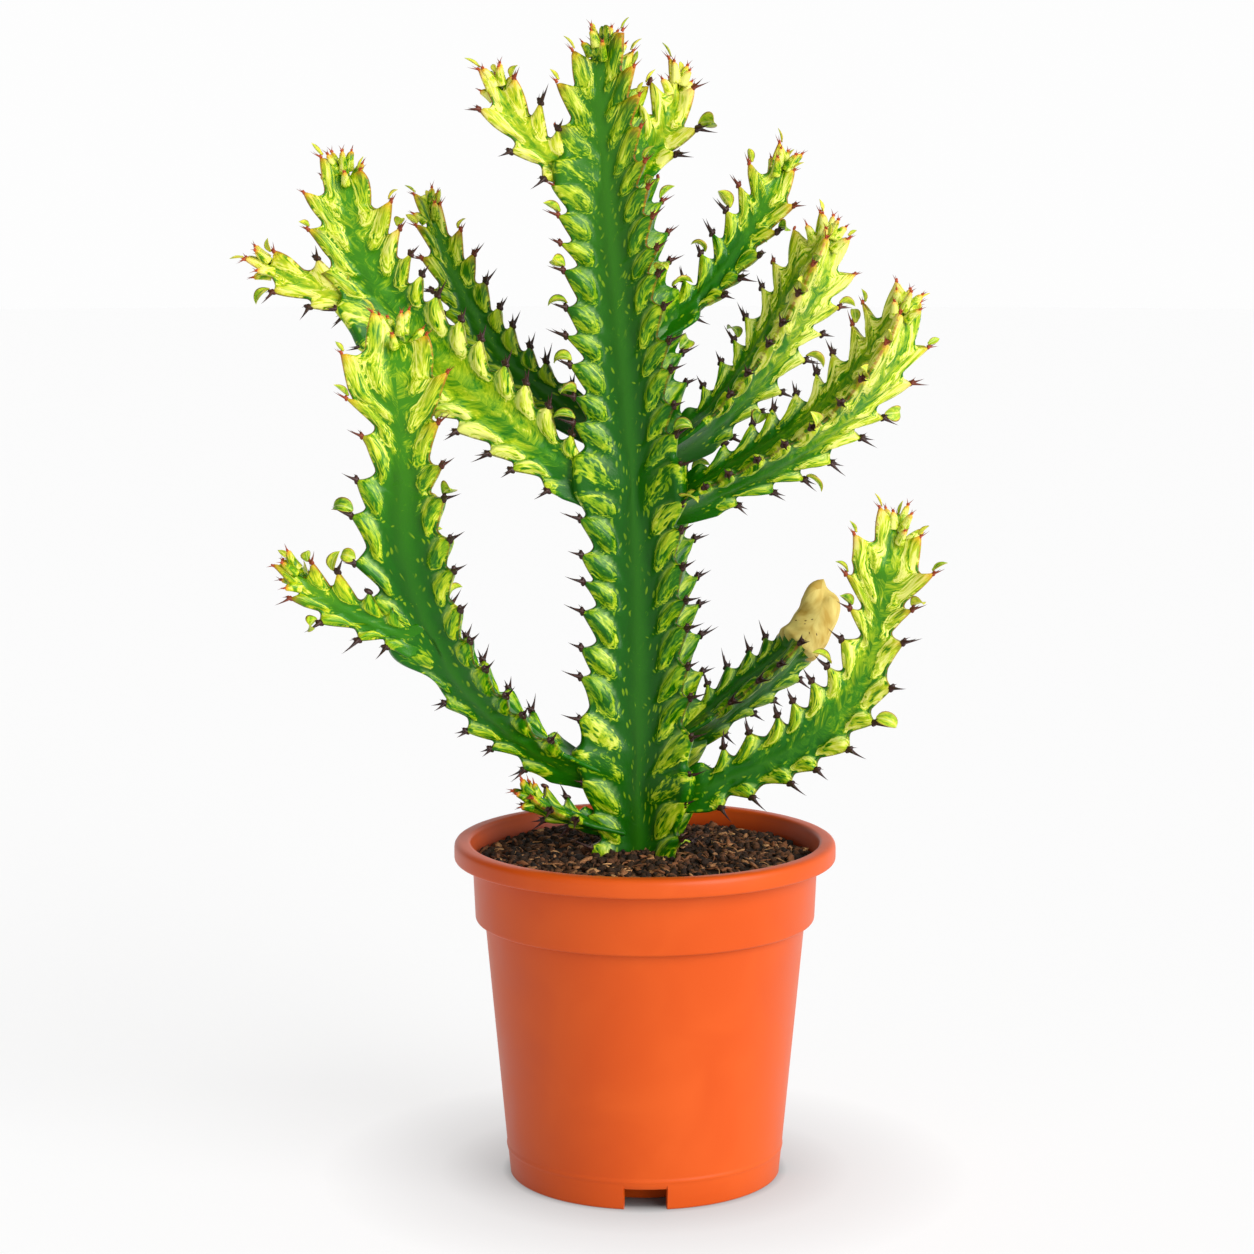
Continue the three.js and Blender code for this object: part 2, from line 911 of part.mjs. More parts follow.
/** A small cupped leaf: widest a third of the way up, lens-shaped across, ending in a point. */
function leafBlade(root, direction, faceUp, length, width) {
  const along = direction.clone().normalize();
  const side = new THREE.Vector3().crossVectors(along, faceUp).normalize();
  const top = new THREE.Vector3().crossVectors(side, along);
  const points = [];
  const ring = (t, halfWidth, halfThick, arch) => {
    const c = root.clone().addScaledVector(along, t * length).addScaledVector(top, arch);
    points.push(c.clone().addScaledVector(side, halfWidth));
    points.push(c.clone().addScaledVector(top, halfThick - halfWidth * 0.3));
    points.push(c.clone().addScaledVector(side, -halfWidth));
    points.push(c.clone().addScaledVector(top, -halfThick - halfWidth * 0.3));
  };
  ring(0, LEAF.thickness * 0.8, LEAF.thickness * 0.6, 0);
  ring(0.5, width / 2, LEAF.thickness * 0.5, length * 0.12);
  points.push(root.clone().addScaledVector(along, length));
  const faces = [
    [0, 2, 1],
    [0, 3, 2],
  ];
  for (let i = 0; i < 4; i++) {
    const j = (i + 1) % 4;
    faces.push([i, j, 4 + j], [i, 4 + j, 4 + i], [4 + i, 4 + j, 8]);
  }
  return solidFromFaces(points, faces);
}

/** Whether a point keeps clear of every stem but its own. */
function clearOfOthers(point, stem, stems) {
  return stems.every((other) => {
    if (other === stem) return true;
    return other.samples.every(
      ({ centre, reach }) => centre.distanceTo(point) > reach + 1.2,
    );
  });
}

/** Decides where a stem's teeth carry spines and leaves: each tooth, unless another stem is in the way. */
function armed(stem, stems) {
  const draw = drawsFrom(stem.seed);
  stem.spines = [];
  stem.leaves = [];
  for (let wing = 0; wing < stem.wings.length; wing++) {
    for (let ring = 1; ring < stem.ringCount; ring += 2) {
      const tooth = toothTip(stem, wing, ring);
      const hasLeaf = draw() < LEAF.share;
      const size = 0.85 + 0.3 * draw();
      if (tooth.distance < stem.plain || !clearOfOthers(tooth.point, stem, stems)) continue;
      const young = THREE.MathUtils.smoothstep(tooth.distance / stem.length, 0.7, 1);
      const tips = [-1, 1].map((sign) => {
        const aim = tooth.outward
          .clone()
          .multiplyScalar(0.85)
          .addScaledVector(tooth.along, 0.3 + 0.5 * young)
          .addScaledVector(tooth.sideways, sign * 0.6)
          .normalize();
        return tooth.point.clone().addScaledVector(aim, SPINE.length * size);
      });
      if (tips.every((tip) => clearOfOthers(tip, stem, stems))) stem.spines.push({ wing, ring, tips });
      if (!hasLeaf || tooth.distance < stem.leafy * stem.length) continue;
      const aim = tooth.outward
        .clone()
        .multiplyScalar(1 - 0.7 * young)
        .addScaledVector(tooth.along, 0.5 + 0.6 * young)
        .normalize();
      const length = LEAF.length * size;
      const root = tooth.point
        .clone()
        .addScaledVector(tooth.along, LEAF.above)
        .addScaledVector(tooth.outward, -LEAF.sunk);
      const width = LEAF.width * (1 - 0.45 * young);
      const leafTip = root.clone().addScaledVector(aim, length);
      if (clearOfOthers(leafTip, stem, stems)) stem.leaves.push({ root, aim, tooth, length, width });
    }
  }
}

// ---- Assembly ----

const SAMPLE_SPACING = 6;

const stems = [MAIN, ...BRANCHES].map(prepared);
for (const stem of stems) {
  const count = Math.ceil(stem.length / SAMPLE_SPACING);
  stem.samples = Array.from({ length: count + 1 }, (_, i) => {
    const distance = (i / count) * stem.length;
    return { centre: frameAt(stem, distance).centre, reach: between(stem.reach, distance) };
  });
  if (stem.seat) stems[0].flares.push(stem.seat);
}

const group = new THREE.Group();
const grownSweeps = []; // what each later stem is trimmed by
for (const stem of stems) {
  armed(stem, stems);
  let body = stemSweep(stem);
  for (const { root, aim, tooth, length, width } of stem.leaves)
    body = body.add(leafBlade(root, aim, tooth.along, length, width));
  for (const sweep of grownSweeps) body = body.subtract(sweep);
  group.add(meshOf(stem.name, largestBody(body), stem.color, 0.5));
  grownSweeps.push(stemSweep(stem, CLEARANCE));
}
group.add(meshOf("potting_soil", soilSolid(grownSweeps[0]), 0x2e1d13, 0.95));
group.add(meshOf("pot", potSolid(), 0xe2622f, 0.45));

export default group;
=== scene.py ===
"""Dresses the potted euphorbia: toothed, winged succulent stems in potting soil in a moulded nursery pot.

Sizes are in millimetres until a mesh is made. +Z is up and -Y is the front.
"""

import logging
import math
from collections.abc import Callable
from dataclasses import dataclass, field
from enum import Enum, IntEnum
from functools import partial

import bpy
import numpy as np
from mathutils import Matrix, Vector, noise


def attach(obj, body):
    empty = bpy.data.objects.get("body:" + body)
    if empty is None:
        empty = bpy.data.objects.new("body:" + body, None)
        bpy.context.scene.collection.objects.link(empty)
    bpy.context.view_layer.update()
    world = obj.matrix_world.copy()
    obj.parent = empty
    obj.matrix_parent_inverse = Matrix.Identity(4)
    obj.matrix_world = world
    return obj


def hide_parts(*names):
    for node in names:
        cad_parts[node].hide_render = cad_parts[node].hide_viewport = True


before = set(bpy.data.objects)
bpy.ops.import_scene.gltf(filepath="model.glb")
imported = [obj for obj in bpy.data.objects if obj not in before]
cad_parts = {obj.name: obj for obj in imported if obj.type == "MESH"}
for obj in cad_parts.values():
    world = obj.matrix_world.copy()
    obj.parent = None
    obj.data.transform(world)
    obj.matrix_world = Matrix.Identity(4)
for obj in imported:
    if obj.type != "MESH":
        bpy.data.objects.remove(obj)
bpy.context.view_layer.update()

LOG = logging.getLogger("potted_euphorbia")

MM = 0.001
UP = np.array([0.0, 0.0, 1.0])
FRONT = np.array([0.0, -1.0, 0.0])


# ---- Colour and nodes ----


def linear(hex_colour: str) -> tuple[float, float, float, float]:
    """Turns an sRGB hex colour into linear RGBA.

    Args:
        hex_colour: Six hex digits, with or without a leading "#".

    Returns:
        Red, green, blue and an alpha of 1, as linear values.
    """
    digits = hex_colour.lstrip("#")
    values = [int(digits[i : i + 2], 16) / 255 for i in (0, 2, 4)]
    return tuple(v / 12.92 if v <= 0.04045 else ((v + 0.055) / 1.055) ** 2.4 for v in values) + (1.0,)


def feed(node: bpy.types.Node, inputs: dict) -> None:
    """Sets or links a node's inputs.

    Args:
        node: The node.
        inputs: Input name or number to a value, to an output socket, or to a node whose first shown output feeds it.
    """
    for key, value in inputs.items():
        if isinstance(value, bpy.types.Node):
            value = next(socket for socket in value.outputs if socket.enabled)
        if isinstance(value, bpy.types.NodeSocket):
            node.id_data.links.new(value, node.inputs[key])
        else:
            node.inputs[key].default_value = value


def add_node(tree: bpy.types.NodeTree, kind: str, inputs: dict | None = None, **settings: object) -> bpy.types.Node:
    """Adds one node with its settings, input values and links.

    Args:
        tree: The node tree that gets the node.
        kind: The node's type name, without the "ShaderNode" that they all start with.
        inputs: What sets or feeds its inputs, as in feed().
        **settings: The node's own properties.

    Returns:
        The new node.
    """
    node = tree.nodes.new("ShaderNode" + kind)
    for key, value in settings.items():
        setattr(node, key, value)
    feed(node, inputs or {})
    return node


def colour_stops(ramp: bpy.types.Node, stops: list[tuple[float, str]]) -> None:
    """Sets a colour ramp's stops.

    Args:
        ramp: The colour ramp node.
        stops: Pairs of position and sRGB hex colour, in rising order.
    """
    elements = ramp.color_ramp.elements
    while len(elements) < len(stops):
        elements.new(1.0)
    for element, (position, colour) in zip(elements, stops):
        element.position = position
        element.color = linear(colour)


def new_material(name: str, constants: dict[str, object]) -> tuple[bpy.types.Material, bpy.types.Node, Callable]:
    """Starts a material from a bare shader.

    Args:
        name: The material's name.
        constants: Shader input name to the value that is the same all over the surface.

    Returns:
        The material, its Principled shader, and add_node for its tree.
    """
    material = bpy.data.materials.new(name)
    material.use_nodes = True
    shader = material.node_tree.nodes["Principled BSDF"]
    feed(shader, constants)
    return material, shader, partial(add_node, material.node_tree)


SMOOTH = {"interpolation_type": "SMOOTHSTEP"}  # a setting of the MapRange nodes that have soft ends

# The attributes at each face corner of a stem. The first is where it lies on the skin, as mm from the margin, mm
# along and the wing's offset, and how near it is to a tooth's tip, below 0 along a tubercle's upper edge where a
# highlight is painted. The second is its tubercle, margin, age and pallor.
LAYERS = ("skin_map", "skin_form")


# ---- Finishes ----


class Skin(Enum):
    """The skins that the stems of this plant show."""

    GREEN = "green"
    MARBLED = "marbled"
    YOUNG = "young"


class SkinMap:
    """The nodes that say where a spot of skin lies on its stem, and the patterns that are drawn there."""

    def __init__(self, skin: "SucculentSkin", add: Callable) -> None:
        """Adds the nodes.

        Args:
            skin: The finish that gives the patterns' sizes.
            add: Adds a node to the material's tree.
        """
        where, form = (add("Attribute", attribute_name=layer).outputs for layer in LAYERS)
        self.place, self.apex, self.pallor = where["Vector"], where["Alpha"], form["Alpha"]
        self.pillow, self.margin, age = add("SeparateXYZ", {0: form["Vector"]}).outputs
        self.across, self.along, stem = add("SeparateXYZ", {0: self.place}).outputs
        self.inward = add("Math", {0: self.across}, operation="ABSOLUTE")
        self.young = add("MapRange", {"Value": age, "From Min": 0.55, "From Max": 1.0}, **SMOOTH)
        spot = add("TexCoord").outputs["Object"]
        self.patches = add("TexNoise", {"Vector": spot, "Scale": 1 / (skin.patch * MM), "Detail": 2.0})

        # The marbling runs round each tubercle, at a constant distance from its outline.
        way_in = add("Math", {0: self.inward, 1: skin.streak}, operation="DIVIDE")
        ring = add("Math", {0: self.pillow, 1: skin.rings}, operation="MULTIPLY")
        shift = add("Math", {0: self.along, 1: 1 / skin.drift, 2: stem}, operation="MULTIPLY_ADD")
        swirl = add("CombineXYZ", {0: way_in, 1: ring, 2: shift})
        pattern = {"Vector": swirl, "Scale": 1.0, "Detail": 3.0, "Roughness": 0.6, "Distortion": 0.9}
        self.streak = add("TexNoise", pattern)
        finer = (1 / skin.fine[0], 1 / skin.fine[1], 1.0)
        small = add("VectorMath", {0: self.place, 1: finer}, operation="MULTIPLY")
        pattern = {"Vector": small, "Scale": 1.0, "Detail": 3.0, "Roughness": 0.65, "Distortion": 0.5}
        self.fine = add("TexNoise", pattern)
        noises = (self.streak, self.fine, self.patches)
        offsets = [add("Math", {0: value, 1: 0.5}, operation="SUBTRACT") for value in noises]
        self.streak_off, self.fine_off, self.patch_off = offsets


@dataclass(frozen=True)
class SucculentSkin:
    """Living euphorbia epidermis: a waxy, slightly translucent skin, marbled where it lacks chlorophyll.

    The wax gives it a soft sheen. Each tubercle is yellow, with green streaks that follow its outline and green dots,
    and its colour breaks up into flecks towards the dark green valleys.
    """

    name: str
    deep: str  # full chlorophyll, in the valleys
    middle: str
    lime: str
    yellow: str
    cream: str  # no chlorophyll
    fresh: str  # the green of new growth
    tubercle_highlight: str = "#9CC06C"  # painted highlight along the upper edge of each tubercle
    valley: str = "#3A7C12"  # painted sheen down the middle of a valley
    old_tip: str = "#8E8A2A"
    young_tip: str = "#E08A22"
    old_line: str = "#5A4318"  # the dry margin between the tips
    young_line: str = "#B05A24"
    streak: float = 5.2  # mm along the marbling
    rings: float = 3.6  # streaks from a tubercle's edge to its middle, each about 1.5 mm wide
    drift: float = 9.0  # mm along the stem, over which the streaks change
    fine: tuple[float, float] = (1.9, 1.0)  # mm, size of the fine mottling across and along
    dot: tuple[float, float] = (2.8, 2.0)  # mm between the green dots on a tubercle, across and along
    patch: float = 24.0  # mm, size of the paler and greener stretches
    speck: tuple[float, float] = (2.0, 4.6)  # mm between the light flecks of the valleys, across and along
    ragged: tuple[float, float] = (0.9, 0.7)  # how much the streaks and the mottling break a tubercle's outline
    contrast: tuple[float, float, float] = (1.35, 0.6, 0.5)  # of the streaks, the mottling and the stretches

    def build(self) -> bpy.types.Material:
        """Makes the skin's material.

        Returns:
            The material, which reads the stems' skin attributes.
        """
        material, shader, add = new_material(
            self.name,
            {
                "IOR": 1.45,
                "Specular IOR Level": 0.25,
                "Subsurface Weight": 0.05,
                "Subsurface Radius": (0.6, 1.0, 0.25),
                "Subsurface Scale": 0.002,
            },
        )
        at = SkinMap(self, add)
        lack = self.darkened(add, at, *self.bleached(add, at))
        colour = self.coloured(add, at, lack)
        for step in (self.sheened_and_flecked, self.dried):
            colour = step(add, at, colour)
        relief = add("Math", {0: at.fine, 1: 0.5, 2: at.streak}, operation="MULTIPLY_ADD")
        bump = add("Bump", {"Height": relief, "Strength": 0.3, "Distance": 0.0005})
        gloss = add("MapRange", {"Value": at.patches, "From Min": 0.3, "From Max": 0.7, "To Min": 0.27, "To Max": 0.4})
        feed(shader, {"Base Color": colour, "Normal": bump, "Roughness": gloss})
        return material

    def bleached(self, add: Callable, at: SkinMap) -> tuple[bpy.types.Node, bpy.types.Node]:
        """How little chlorophyll there is: most on the tubercles, with a ragged outline.

        Args:
            add: Adds a node to the material's tree.
            at: Where the skin lies, and its patterns.

        Returns:
            The lack of chlorophyll, and where the tubercles are.
        """
        ragged = at.pillow
        for value, weight in zip((at.streak_off, at.fine_off), self.ragged):
            ragged = add("Math", {0: value, 1: weight, 2: ragged}, operation="MULTIPLY_ADD")
        raised = add("MapRange", {"Value": ragged, "From Min": 0.1, "From Max": 0.52}, **SMOOTH)
        vivid = 0.3
        for value, weight in ((raised, 0.8), (at.young, 0.3), (at.pallor, 1.4)):
            vivid = add("Math", {0: value, 1: weight, 2: vivid}, operation="MULTIPLY_ADD")
        share = add("Math", {0: at.young, 1: -0.2, 2: 0.5}, operation="MULTIPLY_ADD")
        lack = add("Math", {0: raised, 1: share, 2: at.pallor}, operation="MULTIPLY_ADD")
        heart = add("MapRange", {"Value": at.pillow, "From Min": 0.7, "From Max": 1.0, "To Max": 0.2})
        grown = add("Math", {0: 1.0, 1: at.young}, operation="SUBTRACT")
        heart = add("Math", {0: heart, 1: grown}, operation="MULTIPLY")
        lack = add("Math", {0: lack, 1: heart}, operation="SUBTRACT")
        swing = add("Math", {0: at.streak_off, 1: self.contrast[0]}, operation="MULTIPLY")
        swing = add("Math", {0: at.fine_off, 1: self.contrast[1], 2: swing}, operation="MULTIPLY_ADD")
        lack = add("Math", {0: swing, 1: vivid, 2: lack}, operation="MULTIPLY_ADD")
        lack = add("Math", {0: at.patch_off, 1: self.contrast[2], 2: lack}, operation="MULTIPLY_ADD")
        return lack, raised

    def darkened(self, add: Callable, at: SkinMap, lack: bpy.types.Node, raised: bpy.types.Node) -> bpy.types.Node:
        """Adds the green dots on the tubercles and painted shade in the creases between these.

        Args:
            add: Adds a node to the material's tree.
            at: Where the skin lies, and its patterns.
            lack: How little chlorophyll there is.
            raised: Where the tubercles are.

        Returns:
            The lack of chlorophyll, with both.
        """
        dot = self.scattered(add, at.place, self.dot, (0.4, 0.22), 0.42)
        spotted = add("Math", {0: at.young, 1: -0.2, 2: 0.4}, operation="MULTIPLY_ADD")
        for share in (raised, spotted):
            dot = add("Math", {0: dot, 1: share}, operation="MULTIPLY")
        lack = add("Math", {0: lack, 1: dot}, operation="SUBTRACT")
        # Shade is painted into the creases between the tubercles near the margin, as deeper green.
        painted_crease_shade = add("MapRange", {"Value": at.pillow, "From Min": 0.2, "From Max": 0.0}, **SMOOTH)
        near = add("MapRange", {"Value": at.margin, "From Min": 0.35, "From Max": 0.8}, **SMOOTH)
        deep = add("Math", {0: at.young, 1: 0.1, 2: 0.28}, operation="MULTIPLY_ADD")
        for share in (near, deep):
            painted_crease_shade = add("Math", {0: painted_crease_shade, 1: share}, operation="MULTIPLY")
        return add("Math", {0: lack, 1: painted_crease_shade}, operation="SUBTRACT", use_clamp=True)

    def scattered(
        self,
        add: Callable,
        place: bpy.types.NodeSocket | bpy.types.Node,
        spacing: tuple[float, float],
        rim: tuple[float, float],
        left_out: float,
    ) -> bpy.types.Node:
        """Small spots strewn over the skin.

        Args:
            add: Adds a node to the material's tree.
            place: Where the skin lies, in mm.
            spacing: Mm between the spots, across and along.
            rim: Distances from a spot's middle at which it ends and at which it is full, as shares of the spacing.
            left_out: The share of them that is left out.

        Returns:
            1 on the spots and 0 between them.
        """
        cells = add("VectorMath", {0: place, 1: (1 / spacing[0], 1 / spacing[1], 1.0)}, operation="MULTIPLY")
        spots = add("TexVoronoi", {"Vector": cells, "Scale": 1.0})
        chosen = add("SeparateColor", {0: spots.outputs["Color"]})
        spot = add("MapRange", {"Value": spots, "From Min": rim[0], "From Max": rim[1]}, **SMOOTH)
        kept = add("MapRange", {"Value": chosen, "From Min": left_out, "From Max": 0.5})
        return add("Math", {0: spot, 1: kept}, operation="MULTIPLY")

    def coloured(self, add: Callable, at: SkinMap, lack: bpy.types.Node) -> bpy.types.Node:
        """Colours the tissue, yellow where there is little chlorophyll, with a highlight painted on a tubercle's upper
        edge.

        Args:
            add: Adds a node to the material's tree.
            at: Where the skin lies, and its patterns.
            lack: How little chlorophyll there is.

        Returns:
            The colour.
        """
        tissue = add("ValToRGB", {0: lack})
        stops = [(0.1, self.deep), (0.27, self.middle), (0.44, self.lime), (0.63, self.yellow), (0.95, self.cream)]
        colour_stops(tissue, stops)
        green = add("MapRange", {"Value": lack, "From Min": 0.34, "From Max": 0.12, "To Max": 0.7})
        green = add("Math", {0: green, 1: at.young}, operation="MULTIPLY")
        colour = add("Mix", {0: green, 6: tissue, 7: linear(self.fresh)}, data_type="RGBA")
        # A highlight is painted along each tubercle's upper edge, where the map's fourth value is below 0.
        painted_crest_highlight = add("MapRange", {"Value": at.apex, "From Min": 0.0, "From Max": -1.0, "To Max": 0.5})
        return add("Mix", {0: painted_crest_highlight, 6: colour, 7: linear(self.tubercle_highlight)}, data_type="RGBA")

    def sheened_and_flecked(self, add: Callable, at: SkinMap, colour: bpy.types.Node) -> bpy.types.Node:
        """Paints a paler sheen down the middle of each valley, and adds upright light flecks round it.

        Args:
            add: Adds a node to the material's tree.
            at: Where the skin lies, and its patterns.
            colour: The tissue's colour.

        Returns:
            The colour.
        """
        # A paler sheen is painted down the middle of each valley.
        painted_valley_sheen = add("MapRange", {"Value": at.margin, "From Min": 0.3, "From Max": 0.0, "To Max": 0.3}, **SMOOTH)
        colour = add("Mix", {0: painted_valley_sheen, 6: colour, 7: linear(self.valley)}, data_type="RGBA")
        level = add("Math", {0: at.along, 1: at.inward}, operation="SUBTRACT")
        upright = add("CombineXYZ", {0: at.across, 1: level})
        fleck = self.scattered(add, upright, self.speck, (0.36, 0.2), 0.4)
        inner = add("MapRange", {"Value": at.margin, "From Min": 0.08, "From Max": 0.26, "To Max": 0.85}, **SMOOTH)
        fleck = add("Math", {0: fleck, 1: inner}, operation="MULTIPLY")
        return add("Mix", {0: fleck, 6: colour, 7: linear(self.lime)}, data_type="RGBA")

    def dried(self, add: Callable, at: SkinMap, colour: bpy.types.Node) -> bpy.types.Node:
        """Dries tooth tips and margins to a thin brown line, orange red on new growth.

        Args:
            add: Adds a node to the material's tree.
            at: Where the skin lies, and its patterns.
            colour: The skin's colour.

        Returns:
            The colour.
        """
        tip = add("Mix", {0: at.young, 6: linear(self.old_tip), 7: linear(self.young_tip)}, data_type="RGBA")
        apex = add("Math", {0: at.apex, 1: 0.8}, operation="MULTIPLY", use_clamp=True)
        colour = add("Mix", {0: apex, 6: colour, 7: tip}, data_type="RGBA")
        line = add("Mix", {0: at.young, 6: linear(self.old_line), 7: linear(self.young_line)}, data_type="RGBA")
        rim = add("MapRange", {"Value": at.margin, "From Min": 0.955, "From Max": 0.995, "To Max": 0.75}, **SMOOTH)
        worn = add("MapRange", {"Value": at.fine, "From Min": 0.36, "From Max": 0.54}, **SMOOTH)
        rim = add("Math", {0: rim, 1: worn}, operation="MULTIPLY")
        return add("Mix", {0: rim, 6: colour, 7: line}, data_type="RGBA")


SKINS = {
    Skin.GREEN: SucculentSkin("green_euphorbia_skin", "#125600", "#2E6E00", "#789E08", "#AEC01E", "#DADE68", "#367600"),
    Skin.MARBLED: SucculentSkin(
        "marbled_euphorbia_skin", "#166000", "#3A7E00", "#86AA08", "#BCCA20", "#E2E478", "#488800"
    ),
    Skin.YOUNG: SucculentSkin("young_euphorbia_skin", "#287000", "#5C9400", "#9CB60A", "#C8CE20", "#E6E47A", "#5C9000"),
}


@dataclass(frozen=True)
class HornySpine:
    """Spines and spine shields: dry, horny tissue, dark purplish brown, and orange red while young."""

    name: str = "horny_spine_shield"
    old: str = "#1E0F0C"
    ripe: str = "#43201A"
    fresh: str = "#B84A1C"
    grown: str = "#5A2416"  # the ends of young spines, which harden first
    ridge: float = 0.5  # mm between the fine ridges along a spine

    def build(self) -> bpy.types.Material:
        """Makes the spines' material.

        Returns:
            The material, redder where the attribute says that the growth is young.
        """
        material, shader, add = new_material(self.name, {"Roughness": 0.45, "Specular IOR Level": 0.35})
        where, form = (add("Attribute", attribute_name=layer).outputs for layer in LAYERS)
        out_along, _, age = add("SeparateXYZ", {0: form["Vector"]}).outputs
        fibres = add("TexNoise", {"Vector": where["Vector"], "Scale": 1 / self.ridge, "Detail": 2.0})
        horn = add("ValToRGB", {0: fibres})
        colour_stops(horn, [(0.35, self.old), (0.7, self.ripe)])
        hardened = add("Mix", {0: out_along, 6: linear(self.fresh), 7: linear(self.grown)}, data_type="RGBA")
        youth = add("MapRange", {"Value": age, "From Min": 0.7, "From Max": 0.96}, **SMOOTH)
        colour = add("Mix", {0: youth, 6: horn, 7: hardened}, data_type="RGBA")
        bump = add("Bump", {"Height": fibres, "Strength": 0.4, "Distance": 0.0002})
        feed(shader, {"Base Color": colour, "Normal": bump})
        return material


@dataclass(frozen=True)
class LeafTissue:
    """Small fleshy leaves: green to yellow blades with a paler midrib and a reddish edge."""

    name: str = "fleshy_leaf_blade"
    green: str = "#3F7A10"
    lime: str = "#94B41C"
    yellow: str = "#D2D23A"
    edge: str = "#A8603C"
    rib: str = "#DEE288"
    blotch: float = 2.5  # mm

    def build(self) -> bpy.types.Material:
        """Makes the leaves' material.

        Returns:
            The material: its map holds mm along and across the blade, its form the share towards the edge.
        """
        material, shader, add = new_material(
            self.name,
            {
                "Roughness": 0.4,
                "Specular IOR Level": 0.3,
                "Subsurface Weight": 0.15,
                "Subsurface Radius": (0.7, 1.0, 0.3),
                "Subsurface Scale": 0.002,
            },
        )
        where, form = (add("Attribute", attribute_name=layer).outputs for layer in LAYERS)
        warmth, sideways, _ = add("SeparateXYZ", {0: form["Vector"]}).outputs
        grain = {"Vector": where["Vector"], "Scale": 1 / self.blotch, "Detail": 3.0, "Distortion": 0.5}
        blotches = add("TexNoise", grain)
        warm = add("Math", {0: blotches, 1: warmth}, operation="ADD", use_clamp=True)
        blade = add("ValToRGB", {0: warm})
        colour_stops(blade, [(0.42, self.green), (0.64, self.lime), (0.9, self.yellow)])
        edge = add("MapRange", {"Value": sideways, "From Min": 0.76, "From Max": 1.0, "To Max": 0.75}, **SMOOTH)
        rimmed = add("Mix", {0: edge, 6: blade, 7: linear(self.edge)}, data_type="RGBA")
        rib = add("MapRange", {"Value": sideways, "From Min": 0.16, "From Max": 0.04, "To Max": 0.5})
        ribbed = add("Mix", {0: rib, 6: rimmed, 7: linear(self.rib)}, data_type="RGBA")
        feed(shader, {"Base Color": ribbed})
        return material


@dataclass(frozen=True)
class WitheredTissue:
    """Dried stem end: pale yellow-tan, papery and corky, with scattered dark scars."""

    name: str = "withered_corky_stem"
    pale: str = "#D8C470"
    tan: str = "#B89640"
    scar: str = "#4A3018"
    wrinkle: float = 1.4  # mm between the fine wrinkles
    stain: float = 9.0  # mm, size of the darker stains
    scar_spacing: float = 4.0  # mm

    def build(self) -> bpy.types.Material:
        """Makes the dried end's material.

        Returns:
            The material, in the stem's own millimetres.
        """
        material, shader, add = new_material(self.name, {"Roughness": 0.68, "Specular IOR Level": 0.25})
        spot = add("Attribute", attribute_name=LAYERS[0]).outputs["Vector"]
        wrinkles = add("TexNoise", {"Vector": spot, "Scale": 1 / self.wrinkle, "Detail": 4.0, "Roughness": 0.7})
        stains = add("TexNoise", {"Vector": spot, "Scale": 1 / self.stain, "Detail": 3.0})
        base = add("ValToRGB", {0: stains})
        colour_stops(base, [(0.34, self.tan), (0.6, self.pale)])
        scars = add("TexVoronoi", {"Vector": spot, "Scale": 1 / self.scar_spacing})
        dot = add("MapRange", {"Value": scars, "From Min": 0.14, "From Max": 0.07})
        scarred = add("Mix", {0: dot, 6: base, 7: linear(self.scar)}, data_type="RGBA")
        bump = add("Bump", {"Height": wrinkles, "Strength": 0.5, "Distance": 0.0005})
        feed(shader, {"Base Color": scarred, "Normal": bump})
        return material


@dataclass(frozen=True)
class MouldedPolypropylene:
    """Terracotta-coloured polypropylene, injection moulded: an even satin with a faint mould grain."""

    name: str = "moulded_polypropylene"
    body: str = "#C64C0C"
    low: str = "#C3490A"
    high: str = "#CA5010"
    dust_and_shade: str = "#640800"  # where soil dust and painted shade darken the inside
    grain: float = 0.8  # mm, mould texture, drawn a little coarse so that it shows
    flow: float = 34.0  # mm, soft flow marks of the moulding

    def build(self) -> bpy.types.Material:
        """Makes the pot's material.

        Returns:
            The material, in object coordinates.
        """
        material, shader, add = new_material(self.name, {"IOR": 1.49, "Specular IOR Level": 0.24})
        spot = add("TexCoord").outputs["Object"]
        flow = add("TexNoise", {"Vector": spot, "Scale": 1 / (self.flow * MM), "Detail": 2.0, "Distortion": 0.6})
        grain = add("TexNoise", {"Vector": spot, "Scale": 1 / (self.grain * MM), "Detail": 2.0})
        tone = add("ValToRGB", {0: flow})
        colour_stops(tone, [(0.3, self.low), (0.5, self.body), (0.72, self.high)])
        # The inside darkens below the lip, for soil dust and painted shade.
        inside = add("Attribute", attribute_name="soil_dust_and_shade")
        dusted_and_shaded = add("Mix", {0: inside.outputs["Fac"], 6: tone, 7: linear(self.dust_and_shade)}, data_type="RGBA")
        bump = add("Bump", {"Height": grain, "Strength": 0.12, "Distance": 0.0002})
        gloss = add("MapRange", {"Value": flow, "From Min": 0.35, "From Max": 0.65, "To Min": 0.36, "To Max": 0.44})
        feed(shader, {"Base Color": dusted_and_shaded, "Normal": bump, "Roughness": gloss})
        return material


